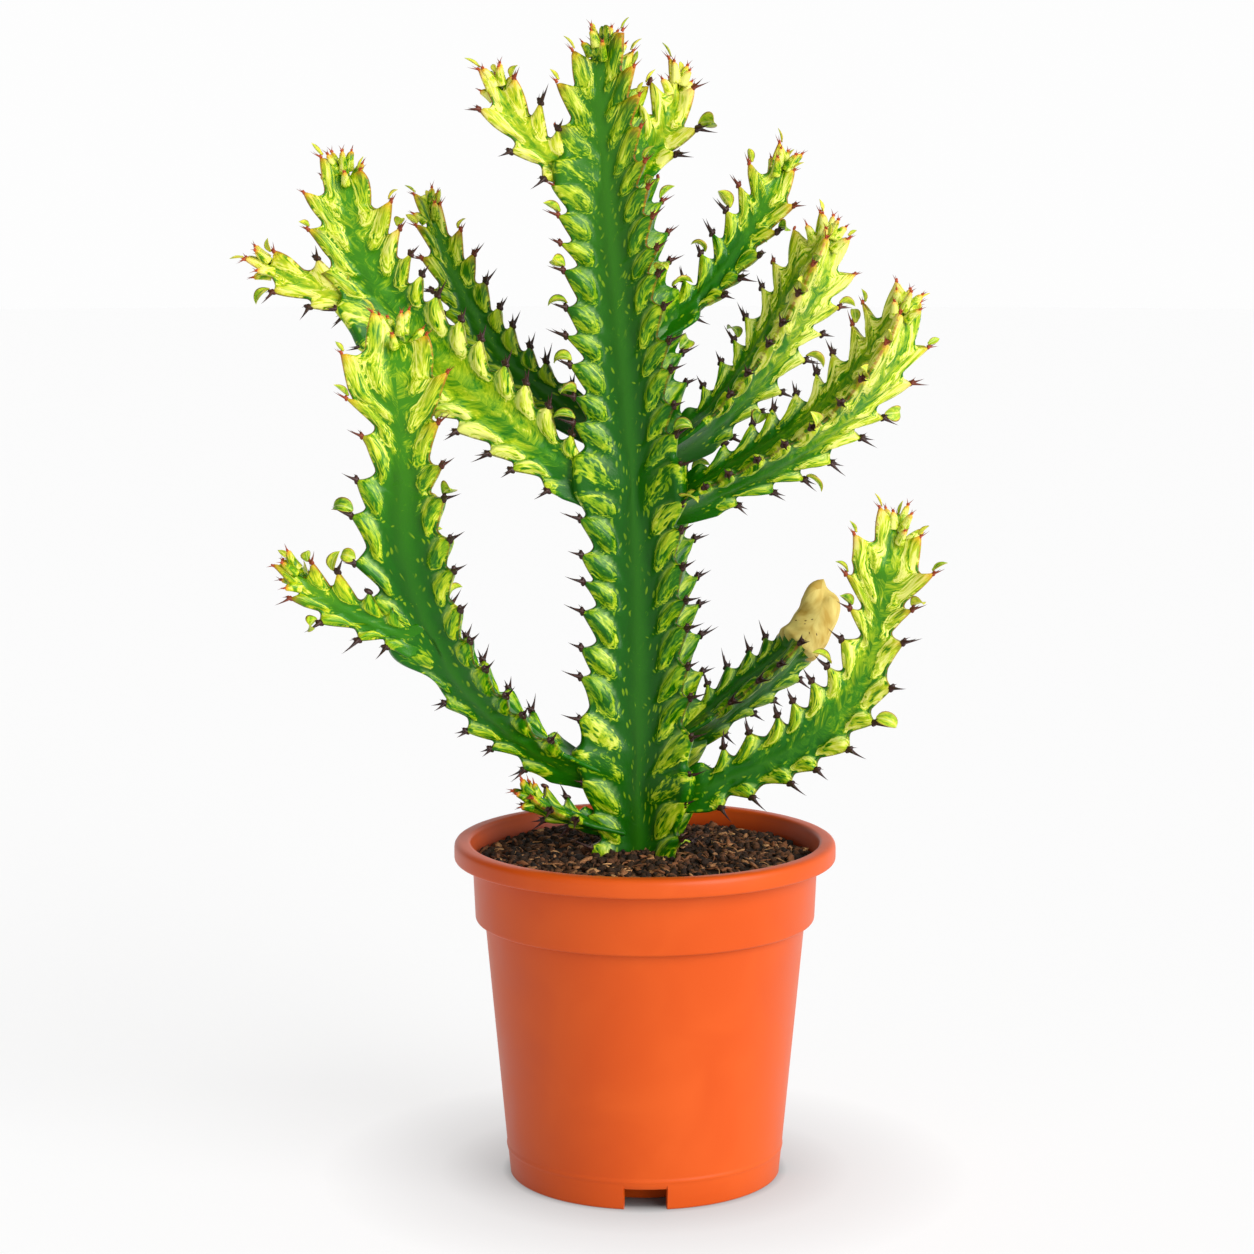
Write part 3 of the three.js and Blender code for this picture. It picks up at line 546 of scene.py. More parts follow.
@dataclass(frozen=True)
class PottingMix:
    """Peat-based potting soil: dark, crumbly and matt, with bark bits and pale fibres in several browns."""

    name: str = "peat_potting_mix"
    wet: str = "#120A05"
    peat: str = "#34200F"
    bark: str = "#845230"
    fibre: str = "#CC9A66"
    crumb: float = 0.9  # mm

    def build(self) -> bpy.types.Material:
        """Makes the soil's material.

        Returns:
            The material, whose "tint" attribute picks each crumb's brown.
        """
        material, shader, add = new_material(self.name, {"Roughness": 0.8, "Specular IOR Level": 0.3})
        spot = add("TexCoord").outputs["Object"]
        tint = add("Attribute", attribute_name="tint")
        grit = add("TexNoise", {"Vector": spot, "Scale": 1 / (self.crumb * MM), "Detail": 4.0, "Roughness": 0.7})
        spread = add("Math", {0: grit, 1: 0.36, 2: -0.18}, operation="MULTIPLY_ADD")
        brown = add("Math", {0: spread, 1: tint.outputs["Fac"]}, operation="ADD")
        ramp = add("ValToRGB", {0: brown})
        colour_stops(ramp, [(0.1, self.wet), (0.4, self.peat), (0.72, self.bark), (1.0, self.fibre)])
        bump = add("Bump", {"Height": grit, "Strength": 0.8, "Distance": 0.0006})
        feed(shader, {"Base Color": ramp, "Normal": bump})
        return material


@dataclass(frozen=True)
class OpalAcrylic:
    """Matt opal acrylic table top, glowing even white as if lit from below, with a shadow painted into the glow under
    and close round the pot.
    """

    name: str = "backlit_opal_acrylic"
    white: str = "#808080"  # what it reflects
    glow: float = 0.785  # what shines through
    reach: float = 150.0  # mm, radius within which a shadow is painted into the glow
    frosting: float = 0.6  # mm, the grain of the matt side

    def build(self) -> bpy.types.Material:
        """Makes the floor's material.

        Returns:
            The material.
        """
        material, shader, add = new_material(
            self.name, {"Base Color": linear(self.white), "Roughness": 0.95, "Specular IOR Level": 0.0}
        )
        spot = add("TexCoord").outputs["Object"]
        frost = add("TexNoise", {"Vector": spot, "Scale": 1 / (self.frosting * MM)})
        bump = add("Bump", {"Height": frost, "Strength": 0.05, "Distance": 0.0001})
        # A shadow is painted into the glow under and close round the pot.
        away = add("VectorMath", {0: spot}, operation="LENGTH")
        share = add("Math", {0: away.outputs["Value"], 1: self.reach * MM}, operation="DIVIDE")
        glow_with_painted_shadow = add("ValToRGB", {0: share})
        colour_stops(glow_with_painted_shadow, [(0.36, "#101010"), (0.43, "#CCCCCC"), (0.62, "#EAEAEA"), (0.98, "#FFFFFF")])
        feed(shader, {"Normal": bump, "Emission Color": glow_with_painted_shadow, "Emission Strength": self.glow})
        return material


# ---- Mesh making ----


BARE = np.zeros(4)


class Shell:
    """Gathers points and faces, with the skin's attributes at each face corner, and makes one mesh."""

    def __init__(self) -> None:
        """Starts empty."""
        self.points: list[np.ndarray] = []
        self.faces: list[tuple[np.ndarray, np.ndarray, np.ndarray, np.ndarray]] = []
        self.count = 0

    def add_points(self, points: np.ndarray) -> int:
        """Adds points in mm.

        Args:
            points: An array of shape (n, 3).

        Returns:
            The number of the first one.
        """
        first = self.count
        self.points.append(points)
        self.count += len(points)
        return first

    def add_faces(
        self,
        corners: np.ndarray,
        material: int | np.ndarray = 0,
        skin_map: np.ndarray = BARE,
        skin_form: np.ndarray = BARE,
    ) -> None:
        """Adds faces, given as rows of point numbers, with a material's number and each corner's skin values."""
        where, form = (np.broadcast_to(values, corners.shape + (4,)) for values in (skin_map, skin_form))
        self.faces.append((corners, np.broadcast_to(material, len(corners)), where, form))

    def to_object(self, name: str, materials: list[bpy.types.Material]) -> bpy.types.Object:
        """Makes the object.

        Args:
            name: The object's name.
            materials: Its material slots, in order.

        Returns:
            The new object, in metres, smooth shaded.
        """
        mesh = bpy.data.meshes.new(name)
        points = np.concatenate(self.points) * MM
        sizes = np.concatenate([np.full(len(c), c.shape[1]) for c, _, _, _ in self.faces])
        mesh.vertices.add(len(points))
        mesh.vertices.foreach_set("co", points.ravel())
        mesh.loops.add(int(sizes.sum()))
        mesh.loops.foreach_set("vertex_index", np.concatenate([c.ravel() for c, _, _, _ in self.faces]))
        mesh.polygons.add(len(sizes))
        mesh.polygons.foreach_set("loop_start", np.concatenate([[0], np.cumsum(sizes)[:-1]]))
        mesh.polygons.foreach_set("material_index", np.concatenate([m for _, m, _, _ in self.faces]))
        mesh.polygons.foreach_set("use_smooth", np.ones(len(sizes), dtype=bool))
        for which, attribute in enumerate(LAYERS, 2):
            layer = mesh.attributes.new(attribute, "FLOAT_COLOR", "CORNER")
            layer.data.foreach_set("color", np.concatenate([f[which].ravel() for f in self.faces]))
        for material in materials:
            mesh.materials.append(material)
        mesh.update(calc_edges=True)
        mesh.validate()
        obj = bpy.data.objects.new(name, mesh)
        bpy.context.scene.collection.objects.link(obj)
        return obj


def unit(v: np.ndarray) -> np.ndarray:
    """Vectors of length 1 along the last axis."""
    return v / np.maximum(np.linalg.norm(v, axis=-1, keepdims=True), 1e-9)


def curve_value(pairs: list[tuple[float, float]], x: np.ndarray | float) -> np.ndarray:
    """The value at x of a curve given as (x, value) pairs in rising order, joined by straight lines."""
    return np.interp(x, [p[0] for p in pairs], [p[1] for p in pairs])


def eased(x: np.ndarray | float, low: float, high: float) -> np.ndarray:
    """0 below low, 1 above high, and smooth between; low may also be the higher end."""
    t = np.clip((np.asarray(x, dtype=float) - low) / (high - low), 0.0, 1.0)
    return t * t * (3 - 2 * t)


def blend(old: float, young: float, share: np.ndarray | float) -> np.ndarray | float:
    """The value between that of old and that of young growth, where share is how young the growth is."""
    return old + (young - old) * share


def tube_faces(first: int, rings: int, sides: int) -> np.ndarray:
    """The quads between rings of points that follow each other, counted anticlockwise from outside.

    Args:
        first: The number of the first ring's first point.
        rings: How many rings there are.
        sides: How many points each has.

    Returns:
        Point numbers, of shape ((rings - 1) * sides, 4).
    """
    ring, side = np.meshgrid(np.arange(rings - 1), np.arange(sides), indexing="ij")
    beside = (side + 1) % sides
    low = first + ring * sides
    return np.stack([low + side, low + beside, low + sides + beside, low + sides + side], axis=-1).reshape(-1, 4)


def fan_faces(first: int, sides: int, pole: int, onward: bool = True) -> np.ndarray:
    """The triangles that close a ring of points at a pole.

    Args:
        first: The number of the ring's first point.
        sides: How many points it has.
        pole: The pole's number.
        onward: Whether the faces go round in the ring's own order, as on its far end.

    Returns:
        Point numbers, of shape (sides, 3).
    """
    here = np.arange(sides)
    beside = (here + 1) % sides
    pair = (here, beside) if onward else (beside, here)
    return np.stack([first + pair[0], first + pair[1], np.full(sides, pole)], axis=-1)


def full_turn(count: int) -> np.ndarray:
    """Evenly spaced angles of a whole turn, in radians."""
    return np.arange(count) / count * math.tau


def circle(radius: float, count: int) -> np.ndarray:
    """Points of a circle round the z axis, of shape (count, 2)."""
    turn = full_turn(count)
    return radius * np.column_stack([np.cos(turn), np.sin(turn)])


class Route:
    """A stem's axis: a smooth curve through points, measured by its length."""

    STEPS = 60  # pieces that each span is measured in

    def __init__(self, points: list[tuple[float, float, float]]) -> None:
        """Fits the curve.

        Args:
            points: Points of the axis from foot to tip, in mm.
        """
        p = np.array(points, dtype=float)
        p = np.vstack([2 * p[0] - p[1], p, 2 * p[-1] - p[-2]])
        gaps = np.linalg.norm(np.diff(p, axis=0), axis=1) ** 0.5
        self.spans = []
        for i in range(1, len(p) - 2):
            x0, x1, x2, x3 = p[i - 1 : i + 3]
            d0, d1, d2 = gaps[i - 1 : i + 2]
            t1 = ((x1 - x0) / d0 - (x2 - x0) / (d0 + d1) + (x2 - x1) / d1) * d1
            t2 = ((x2 - x1) / d1 - (x3 - x1) / (d1 + d2) + (x3 - x2) / d2) * d1
            self.spans.append((x1, t1, -3 * x1 + 3 * x2 - 2 * t1 - t2, 2 * x1 - 2 * x2 + t1 + t2))
        self.spans = np.array(self.spans)
        self.params = np.linspace(0, len(self.spans), len(self.spans) * self.STEPS + 1)
        track = self._place(self.params)[0]
        self.lengths = np.concatenate([[0], np.cumsum(np.linalg.norm(np.diff(track, axis=0), axis=1))])
        self.length = float(self.lengths[-1])

    def _place(self, param: np.ndarray) -> tuple[np.ndarray, np.ndarray]:
        """Points and unnormalised directions at curve parameters.

        Args:
            param: Span number plus the share of that span.

        Returns:
            The points and the directions, with a last axis of 3.
        """
        span = np.clip(np.floor(param).astype(int), 0, len(self.spans) - 1)
        t = (param - span)[..., None]
        c0, c1, c2, c3 = (self.spans[span, k] for k in range(4))
        return c0 + t * (c1 + t * (c2 + t * c3)), c1 + t * (2 * c2 + t * 3 * c3)

    def at(self, distance: np.ndarray) -> tuple[np.ndarray, np.ndarray]:
        """The axis at distances from its foot, drawn on straight past both ends.

        Args:
            distance: Distances in mm, in any shape.

        Returns:
            The points and the unit directions, with a last axis of 3.
        """
        inside = np.clip(distance, 0, self.length)
        point, along = self._place(np.interp(inside, self.lengths, self.params))
        along = unit(along)
        return point + along * (distance - inside)[..., None], along


# ---- Stems ----


@dataclass(frozen=True)
class SectionForm:
    """The star section that all stems share."""

    core: float = 0.37  # valley radius as a share of the wing radius
    foot_core: float = 0.6  # the same at a branch's foot
    margin: float = 1.0  # half thickness of a wing at its margin
    finger: float = 0.35  # how much thicker the young teeth are at their tips
    knob: float = 0.5  # and the old ones
    buttress: float = 2.6  # mm, how much thicker a wing is where it carries a branch
    slope: float = 0.2  # how fast a wing thickens towards the core
    flank_steps: int = 12  # columns of faces on each flank
    pillow_height: float = 0.115  # height of a tubercle as a share of the wing radius
    pillow_inner: tuple[float, float] = (0.38, 0.1)  # where a tubercle starts on the flank, on old and young growth
    pillow_slant: tuple[float, float] = (0.85, 1.3)  # mm that it runs down for each mm inward, old and young
    sub: int = 7  # rings of faces between a notch and the next tooth
    tip_rings: float = 0.62  # how far past the last ring the growing tip closes
    closing: tuple[float, float] = (3.0, 0.5)  # rings over which a growing and a dried end close in
    cap_angle: float = 52.0  # degrees from the middle of the margin to its two edge columns
    margin_share: float = 0.93  # the margin value at the edge of a flank; the cap has what is left to 1
    broadest: float = 0.74  # share of the flank near which a tubercle is broadest
    uneven_reach: float = 0.035  # how much a wing's reach wavers, as a share of it
    uneven_tooth: float = 0.16  # how much its teeth's depth wavers
    seat_teeth: float = 0.55  # how much shallower the teeth are where the wing carries a branch


@dataclass(frozen=True)
class SpineForm:
    """The paired spines."""

    length: float = 7.6
    young_length: float = 4.2
    radius: float = 1.35
    young_radius: float = 0.55
    spread: float = 0.36
    shield: tuple[float, float, float] = (1.1, 1.4, 2.2)  # half sizes: outward, across and along
    prickle: float = 2.3  # the two short prickles above each pair
    prickle_radius: float = 0.5
    prickle_until: float = 0.7  # how young a tooth may be and still have them
    root: float = 0.4  # mm from the tooth's middle to the root of each spine
    sides: int = 8
    rings: int = 7


@dataclass(frozen=True)
class LeafForm:
    """The small cupped leaves."""

    length: float = 9.5
    width: float = 7.0
    roll: float = 2.6  # radians, how far the blades are turned either way
    young_length: float = 6.0
    young_width: float = 2.2
    thickness: float = 0.75
    share: float = 0.46  # of the old teeth that bear a leaf
    young_share: float = 0.85  # and of the young ones
    rows: int = 10
    columns: int = 8


@dataclass(frozen=True)
class LobeForm:
    """The finger-like young teeth that stand round a growing tip."""

    length: tuple[float, float] = (7.5, 11.0)
    radius: float = 2.5
    turn: float = 2.4  # radians from one to the next, as young teeth follow each other round a tip
    sides: int = 12
    rows: int = 9
    spine: float = 3.4
    spine_radius: float = 0.5
    fewest: int = 6  # lobes round a slim tip
    more_from: tuple[float, float] = (10.0, 13.0)  # mm, stem radii from which there is one more


SECTION = SectionForm()
SPINE = SpineForm()
LEAF = LeafForm()
LOBE = LobeForm()
THREE_WINGS = (0.0, 120.0, 240.0)
SEAT_REACH, SEAT_SPREAD = 0.1, 0.5  # a wing grows further out where it carries a branch, as shares of its reach
WING_OFFSET, STEM_OFFSET = 37.0, 11.0  # mm between the marbling of one wing or stem and that of the next
YOUNG_FROM, YOUNG_AT = 0.68, 0.97  # shares of a stem's length between which its teeth grow young


class Part(IntEnum):
    """The material slots of a stem's piece."""

    SKIN = 0
    HORN = 1
    LEAF = 2
    DRIED = 3


@dataclass(frozen=True)
class ToothTip:
    """The end of one tooth: where it is, which way it faces, and how young it is (1 at the stem's tip)."""

    point: np.ndarray
    outward: np.ndarray
    sideways: np.ndarray
    along: np.ndarray
    age: float


@dataclass
class Stem:
    """One stem, branch or shoot, with its teeth, tubercles, spines and leaves.

    The route, turn and reach are those of the solids. Azimuths are in degrees from the stem's right-hand side,
    with -90 the front.
    """

    node: str
    slot: str
    skin: Skin
    route: list[tuple[float, float, float]]
    reach: list[tuple[float, float]]
    turn: tuple[float, float]
    pitch: float
    tooth: tuple[float, float]
    plain: float
    leafy: float
    seed: int
    pallor: list[tuple[float, float]]  # how much yellow shows, by share of the length
    wings: tuple[float, ...] = THREE_WINGS
    carried: bool = True
    withered_from: float | None = None  # share of the length from which it is dried
    bare: tuple[int, float, float] | None = None  # a wing, and the stretch of it that has no teeth, in mm
    crowding: float = 0.0  # how much closer the teeth stand towards the tip
    fresh_from: float = 0.5  # share of the length from which the tubercles are those of new growth
    seats: list[tuple[int, float]] = field(default_factory=list)  # wing and height of each branch that it carries

    def __post_init__(self) -> None:
        """Works out the curve, the ring spacing and each wing's stagger."""
        self.axis = Route(self.route)
        self.length = self.axis.length
        count = len(self.wings)
        self.staggers = [(w % 2) / 2 if count == 4 else w / count for w in range(count)]
        usable = self.length - max(self.staggers) * self.pitch
        halves = math.floor(usable / self.pitch * 2 + 0.5)
        self.ring_count = halves if halves % 2 else halves + 1
        self.step = usable / self.ring_count
        self.draws = np.random.default_rng(self.seed)
        self.wobble = self.draws.uniform(0, math.tau, (count, 6))
        spots = np.linspace(0, self.length, max(2, int(self.length / 5)))
        self.samples = np.column_stack([self.axis.at(spots)[0], curve_value(self.reach, spots)])

    # -- where things are --

    def frame_at(self, distance: np.ndarray) -> tuple[np.ndarray, np.ndarray, np.ndarray, np.ndarray]:
        """Centre, and the directions along, front and side, at distances along the stem.

        Args:
            distance: Distances along the stem, in mm.

        Returns:
            The centre, and the unit directions along the stem, to its front and to its right-hand side.
        """
        centre, along = self.axis.at(distance)
        front = unit(FRONT - along * (along @ FRONT)[..., None])
        return centre, along, front, np.cross(along, front)

    def azimuth(self, wing: int, distance: np.ndarray) -> np.ndarray:
        """A wing's azimuth in radians, at distances in mm along the stem."""
        turned = curve_value([(0, self.turn[0]), (self.length, self.turn[1])], distance)
        return np.radians(self.wings[wing] + turned)

    def place_of(self, wing: int, ring: np.ndarray) -> np.ndarray:
        """Ring positions of a wing as distances along the stem, in mm."""
        return ring * self.step + self.staggers[wing] * self.pitch

    def facing(
        self, wing: int, distance: np.ndarray, front: np.ndarray, right: np.ndarray
    ) -> tuple[np.ndarray, np.ndarray]:
        """The way that a wing stands out, and the way across it.

        Args:
            wing: The wing's number.
            distance: Distances along the stem, in mm.
            front: The unit directions to the stem's front, with a last axis of 3.
            right: The unit directions to its right-hand side, in the same shape.

        Returns:
            The outward and the sideways unit directions.
        """
        azimuth = self.azimuth(wing, distance)[..., None]
        cos, sin = np.cos(azimuth), np.sin(azimuth)
        return right * cos - front * sin, -right * sin - front * cos

    def taper(self, ring: np.ndarray) -> np.ndarray:
        """How the last rings close in round the growing tip, or over a blunt dried end.

        Args:
            ring: Ring positions, two to a tooth.

        Returns:
            The share of its full width that the section keeps.
        """
        closing = SECTION.closing[0 if self.withered_from is None else 1]
        late = np.clip((ring - (self.ring_count - closing)) / (closing + 0.64), 0, 0.995)
        return np.sqrt(1 - late * late)

    def fresh(self, ring: np.ndarray) -> np.ndarray:
        """0 on grown parts, rising to 1 on new growth."""
        return eased(np.asarray(ring) / self.ring_count, self.fresh_from, self.fresh_from * 0.4 + 0.6)

    def tooth_phase(self, wing: int, ring: np.ndarray) -> np.ndarray:
        """Ring positions, shifted a little so that no two teeth are spaced alike; odd whole numbers are tooth tips.

        Args:
            wing: The wing's number.
            ring: Ring positions, two to a tooth.

        Returns:
            The shifted positions.
        """
        a, b = self.wobble[wing][3:5]
        denser = ring * (1 + self.crowding * (ring / self.ring_count - 0.4))
        return denser + 0.17 * np.sin(ring * 1.31 + a) + 0.12 * np.sin(ring * 0.57 + b)

    def tooth_height(self, wing: int, ring: np.ndarray) -> np.ndarray:
        """0 at the notches and 1 at the tooth tips: a full rise and a short hollow drop.

        Args:
            wing: The wing's number.
            ring: Ring positions, two to a tooth.

        Returns:
            The share of the tooth's full depth.
        """
        phase = (self.tooth_phase(wing, ring) % 2) / 2
        fresh = self.fresh(ring)
        rise = np.clip(2 * phase, 0, 1) ** (1.15 - 0.25 * fresh)
        drop = np.clip(2 * (1 - phase), 0, 1) ** (1.6 + 0.7 * fresh)
        return np.where(phase < 0.5, rise, drop) * self.armed(wing, ring)

    def armed(self, wing: int, ring: np.ndarray) -> np.ndarray:
        """0 on a wing's bare stretch, low where it carries a branch, and 1 elsewhere.

        Args:
            wing: The wing's number.
            ring: Ring positions, two to a tooth.

        Returns:
            The share of their full depth that the teeth have.
        """
        distance = self.place_of(wing, ring)
        armed = 1 - 0.5 * self.seat(wing, distance)
        if self.bare and wing == self.bare[0]:
            start, end = self.bare[1:]
            armed = armed * (1 - eased(distance, start, start + 8) * eased(distance, end, end - 8))
        return armed

    def waver(self, wing: int, ring: np.ndarray) -> np.ndarray:
        """A small smooth irregularity along a wing, between about -1 and 1, at ring positions."""
        a, b, c = self.wobble[wing][:3]
        return (np.sin(ring * 0.91 + a) + np.sin(ring * 2.3 + b) + 0.6 * np.sin(ring * 0.37 + c)) / 2.2

    def dried(self, distance: np.ndarray) -> np.ndarray:
        """0 on living skin and 1 on the dried end.

        Args:
            distance: Distances along the stem, in mm.

        Returns:
            The share, in the shape of distance.
        """
        if self.withered_from is None:
            return np.zeros_like(distance)
        start = self.withered_from * self.length
        return eased(distance, start - 3, start + 5)

    def toothed(self, distance: np.ndarray) -> np.ndarray:
        """0 on the plain foot and on a dried end, and 1 where the margin has teeth."""
        return eased(distance, self.plain - 9, self.plain + 1) * (1 - self.dried(distance))

    def seat(self, wing: int, distance: np.ndarray) -> np.ndarray:
        """Rises to 1 where a wing carries a branch.

        Args:
            wing: The wing's number.
            distance: Distances along the stem, in mm.

        Returns:
            The share, in the shape of distance.
        """
        height = self.axis.at(distance)[0][..., 2]
        spread = SEAT_SPREAD * curve_value(self.reach, distance)
        seats = [np.exp(-(((height - z) / spread) ** 2)) for seat_wing, z in self.seats if seat_wing == wing]
        return np.minimum(sum(seats, np.zeros_like(height)), 1)

    def youth(self, ring: np.ndarray) -> np.ndarray:
        """0 on old growth, rising to 1 over the last teeth."""
        return np.clip(1 - (self.ring_count - ring) / 5, 0, 1)

    def edge(self, wing: int, ring: np.ndarray) -> np.ndarray:
        """The margin's distance from the axis.

        Args:
            wing: The wing's number.
            ring: Ring positions, two to a tooth.

        Returns:
            The distances in mm.
        """
        distance = self.place_of(wing, ring)
        seat = self.seat(wing, distance)
        reach = curve_value(self.reach, distance) * (1 + SEAT_REACH * seat)
        toothed = self.toothed(distance)
        depth = curve_value([(0, self.tooth[0]), (self.length, self.tooth[1])], distance)
        uneven = 1 + SECTION.uneven_tooth * self.waver(wing, ring + 9)
        low = (1 - self.tooth_height(wing, ring)) * toothed * depth * uneven * (1 - SECTION.seat_teeth * seat)
        reach = reach * (1 + SECTION.uneven_reach * self.waver(wing, ring) * toothed)
        return (reach - low) * self.taper(ring)

    def lean(self, wing: int, ring: np.ndarray, along: np.ndarray, toothed: np.ndarray) -> np.ndarray:
        """How far the margin is carried up at a ring, in mm, with a last axis of 3."""
        amount = self.pitch * (0.26 + 0.3 * self.youth(ring)) * self.tooth_height(wing, ring) * toothed
        return (along * 0.8 + UP * 0.35) * (amount * np.minimum(1.0, 0.25 + self.taper(ring)))[..., None]

    # -- the swept skin --

    def columns(self) -> tuple[np.ndarray, np.ndarray, np.ndarray]:
        """Each column of one wing: its share from valley to margin, its side, and its angle round the margin.

        Returns:
            Three arrays, with one value for each column.
        """
        n = SECTION.flank_steps
        flank = np.linspace(0, 1, n + 1) ** 0.9
        cap = np.radians([-SECTION.cap_angle, 0.0, SECTION.cap_angle])
        share = np.concatenate([flank, np.ones(3), flank[::-1]])
        side = np.concatenate([-np.ones(n + 1), np.zeros(3), np.ones(n + 1)])
        angle = np.concatenate([np.full(n + 1, -np.pi / 2), cap, np.full(n + 1, np.pi / 2)])
        return share, side, angle

    def wing_surface(self, wing: int, rings: np.ndarray) -> dict[str, np.ndarray]:
        """One wing's points and skin values.

        Args:
            wing: The wing's number.
            rings: Ring positions, of shape (r,).

        Returns:
            "points", "skin_map" and "skin_form" arrays of shape (r, columns, 3), and "dried" of shape (r, columns).
        """
        share, side, angle = (a[None, :] for a in self.columns())
        q = rings[:, None]
        count = len(self.wings)
        before, after = (wing - 1) % count, (wing + 1) % count
        here = self.staggers[wing]
        other = np.where(side < 0, self.staggers[before], self.staggers[after])
        gap_before = (self.wings[wing] - self.wings[before]) % 360
        gap_after = (self.wings[after] - self.wings[wing]) % 360
        half_gap = np.radians(np.where(side < 0, gap_before, gap_after) / 2)
        own = self.place_of(wing, q)
        valley = q * self.step + (here + other) / 2 * self.pitch
        distance = own + (valley - own) * (1 - share) ** 1.5
        centre, along, front, right = self.frame_at(distance)
        outward, sideways = self.facing(wing, own, front, right)

        taper = self.taper(q)
        toothed = self.toothed(own)
        fresh = self.fresh(q)
        tooth = self.tooth_height(wing, q) * toothed
        edge = self.edge(wing, q)
        foot = SECTION.foot_core if self.carried else SECTION.core
        core_share = curve_value([(0, foot), (self.plain, SECTION.core)], distance)
        core = curve_value(self.reach, distance) * core_share * taper
        seat = self.seat(wing, own)
        thick = SECTION.margin * (0.55 + 0.45 * taper)
        thick = thick * (1 + tooth * blend(SECTION.knob, SECTION.finger, fresh)) + SECTION.buttress * seat
        sin_gap, cos_gap = np.sin(half_gap), np.cos(half_gap)
        bend_x = (core - (thick + SECTION.slope * edge) * sin_gap) / (cos_gap - SECTION.slope * sin_gap)
        bend_x = np.minimum(bend_x, edge * 0.92)
        bend_y = thick + SECTION.slope * (edge - bend_x)
        valley_x, valley_y = core * cos_gap, core * sin_gap
        s, r = share, 1 - share
        radial = r * r * valley_x + 2 * r * s * bend_x + s * s * edge
        lateral = r * r * valley_y + 2 * r * s * bend_y + s * s * thick
        slope_x = 2 * r * (bend_x - valley_x) + 2 * s * (edge - bend_x)
        slope_y = 2 * r * (bend_y - valley_y) + 2 * s * (thick - bend_y)
        steep = np.hypot(slope_x, slope_y) + 1e-6
        width = np.hypot(edge - valley_x, valley_y)

        inner = blend(*SECTION.pillow_inner, fresh)
        slant = blend(*SECTION.pillow_slant, fresh)
        slanted = self.tooth_phase(wing, q) / 2 + slant * (1 - share) * width / (2 * self.step) + 0.06
        across = np.abs(2 * (slanted % 1) - 1)
        broadest = inner + (SECTION.broadest - inner) * 0.9
        before_it, past_it = (broadest - share) / (broadest - inner), (share - broadest) / (1.3 - broadest)
        oval = np.where(share < broadest, before_it, past_it)
        room = np.clip(1 - oval**2, 0.04 + 0.7 * fresh, 1) ** 0.8
        beside = np.clip(across / room, 0, 1)
        dome = np.cos(beside * np.pi / 2) ** (1.5 - 0.3 * fresh) * (1 - 0.85 * seat)
        dome = dome * eased(share, inner, inner + 0.22)
        shown = (1 - beside ** (2 + 2 * fresh)) * eased(share, inner, inner + 0.22 + 0.2 * fresh) * (1 - 0.6 * seat)
        on_flank = (1 - eased(share, SECTION.margin_share, 1.0)) * eased(share, 0.02, 0.3)
        swell = SECTION.pillow_height * curve_value(self.reach, own) * taper * toothed
        raised = swell * (dome - 0.3) * on_flank * (1 + 0.25 * self.waver(wing, q + 4)) * (1.15 - 0.6 * fresh)
        radial = radial - slope_y / steep * raised
        lateral = lateral + slope_x / steep * raised
        on_cap = side == 0
        radial = radial + np.where(on_cap, thick * 0.75 * np.cos(angle), 0)
        lateral = np.where(on_cap, thick * np.sin(angle), lateral * side)

        dried = self.dried(distance)
        around = half_gap * (1 - share) * side
        lumpy = curve_value(self.reach, own) * (0.92 + 0.05 * self.waver(wing, q * 1.7)) * taper
        radial = radial + (lumpy * np.cos(around) - radial) * dried
        lateral = lateral + (lumpy * np.sin(around) - lateral) * dried

        lean = self.lean(wing, q, along, toothed) * (share**1.3)[..., None]
        points = centre + outward * radial[..., None] + sideways * lateral[..., None] + lean
        ones = np.ones_like(distance)
        from_margin = np.where(on_cap, thick * np.sin(angle), (1 - share) * width * side + thick * side)
        apex = tooth**5 * share**6 * fresh
        # A highlight is painted along each tubercle's upper edge, stored as negative values of the tip closeness.
        upper = np.exp(-((((slanted % 1) * 2 - 1) / room - 0.8) ** 2) / 0.05) * eased(share, 0.4, 0.75) * (share < 1)
        painted_crest_highlight = upper * toothed * (1 - fresh) * (1 - seat)
        offset = wing * WING_OFFSET + self.seed * STEM_OFFSET
        where = [from_margin, slanted * 2 * self.step, ones * offset, apex - painted_crest_highlight]
        grown = np.clip(q / self.ring_count, 0, 1) * np.ones_like(share)
        rim = (0.035 + 0.035 * (angle == 0)) * toothed * (1 - np.minimum(2 * seat, 1))
        margin = np.where(on_cap, SECTION.margin_share + rim, share * SECTION.margin_share)
        form = [shown * toothed, margin, grown, curve_value(self.pallor, grown)]
        skin_map, skin_form = (np.stack([part * ones for part in parts], axis=-1) for parts in (where, form))
        return {"points": points, "skin_map": skin_map, "skin_form": skin_form, "dried": dried * ones}

    def sweep(self, shell: Shell) -> None:
        """Adds the swept skin, closed at the foot and at the growing tip.

        Args:
            shell: Gathers the mesh.
        """
        last = self.ring_count + SECTION.tip_rings
        steps = int(round(last * SECTION.sub))
        rings = np.linspace(0, last, steps + 1)
        surfaces = [self.wing_surface(w, rings) for w in range(len(self.wings))]
        width = surfaces[0]["points"].shape[1] - 1
        total = width * len(self.wings)
        grid = np.concatenate([s["points"][:, :-1] for s in surfaces], axis=1)
        first = shell.add_points(grid.reshape(-1, 3))
        for wing, surface in enumerate(surfaces):
            ring, column = np.meshgrid(np.arange(steps), np.arange(width), indexing="ij")
            a = first + ring * total + wing * width + column
            b = first + ring * total + (wing * width + column + 1) % total
            corners = np.stack([a, b, b + total, a + total], axis=-1).reshape(-1, 4)

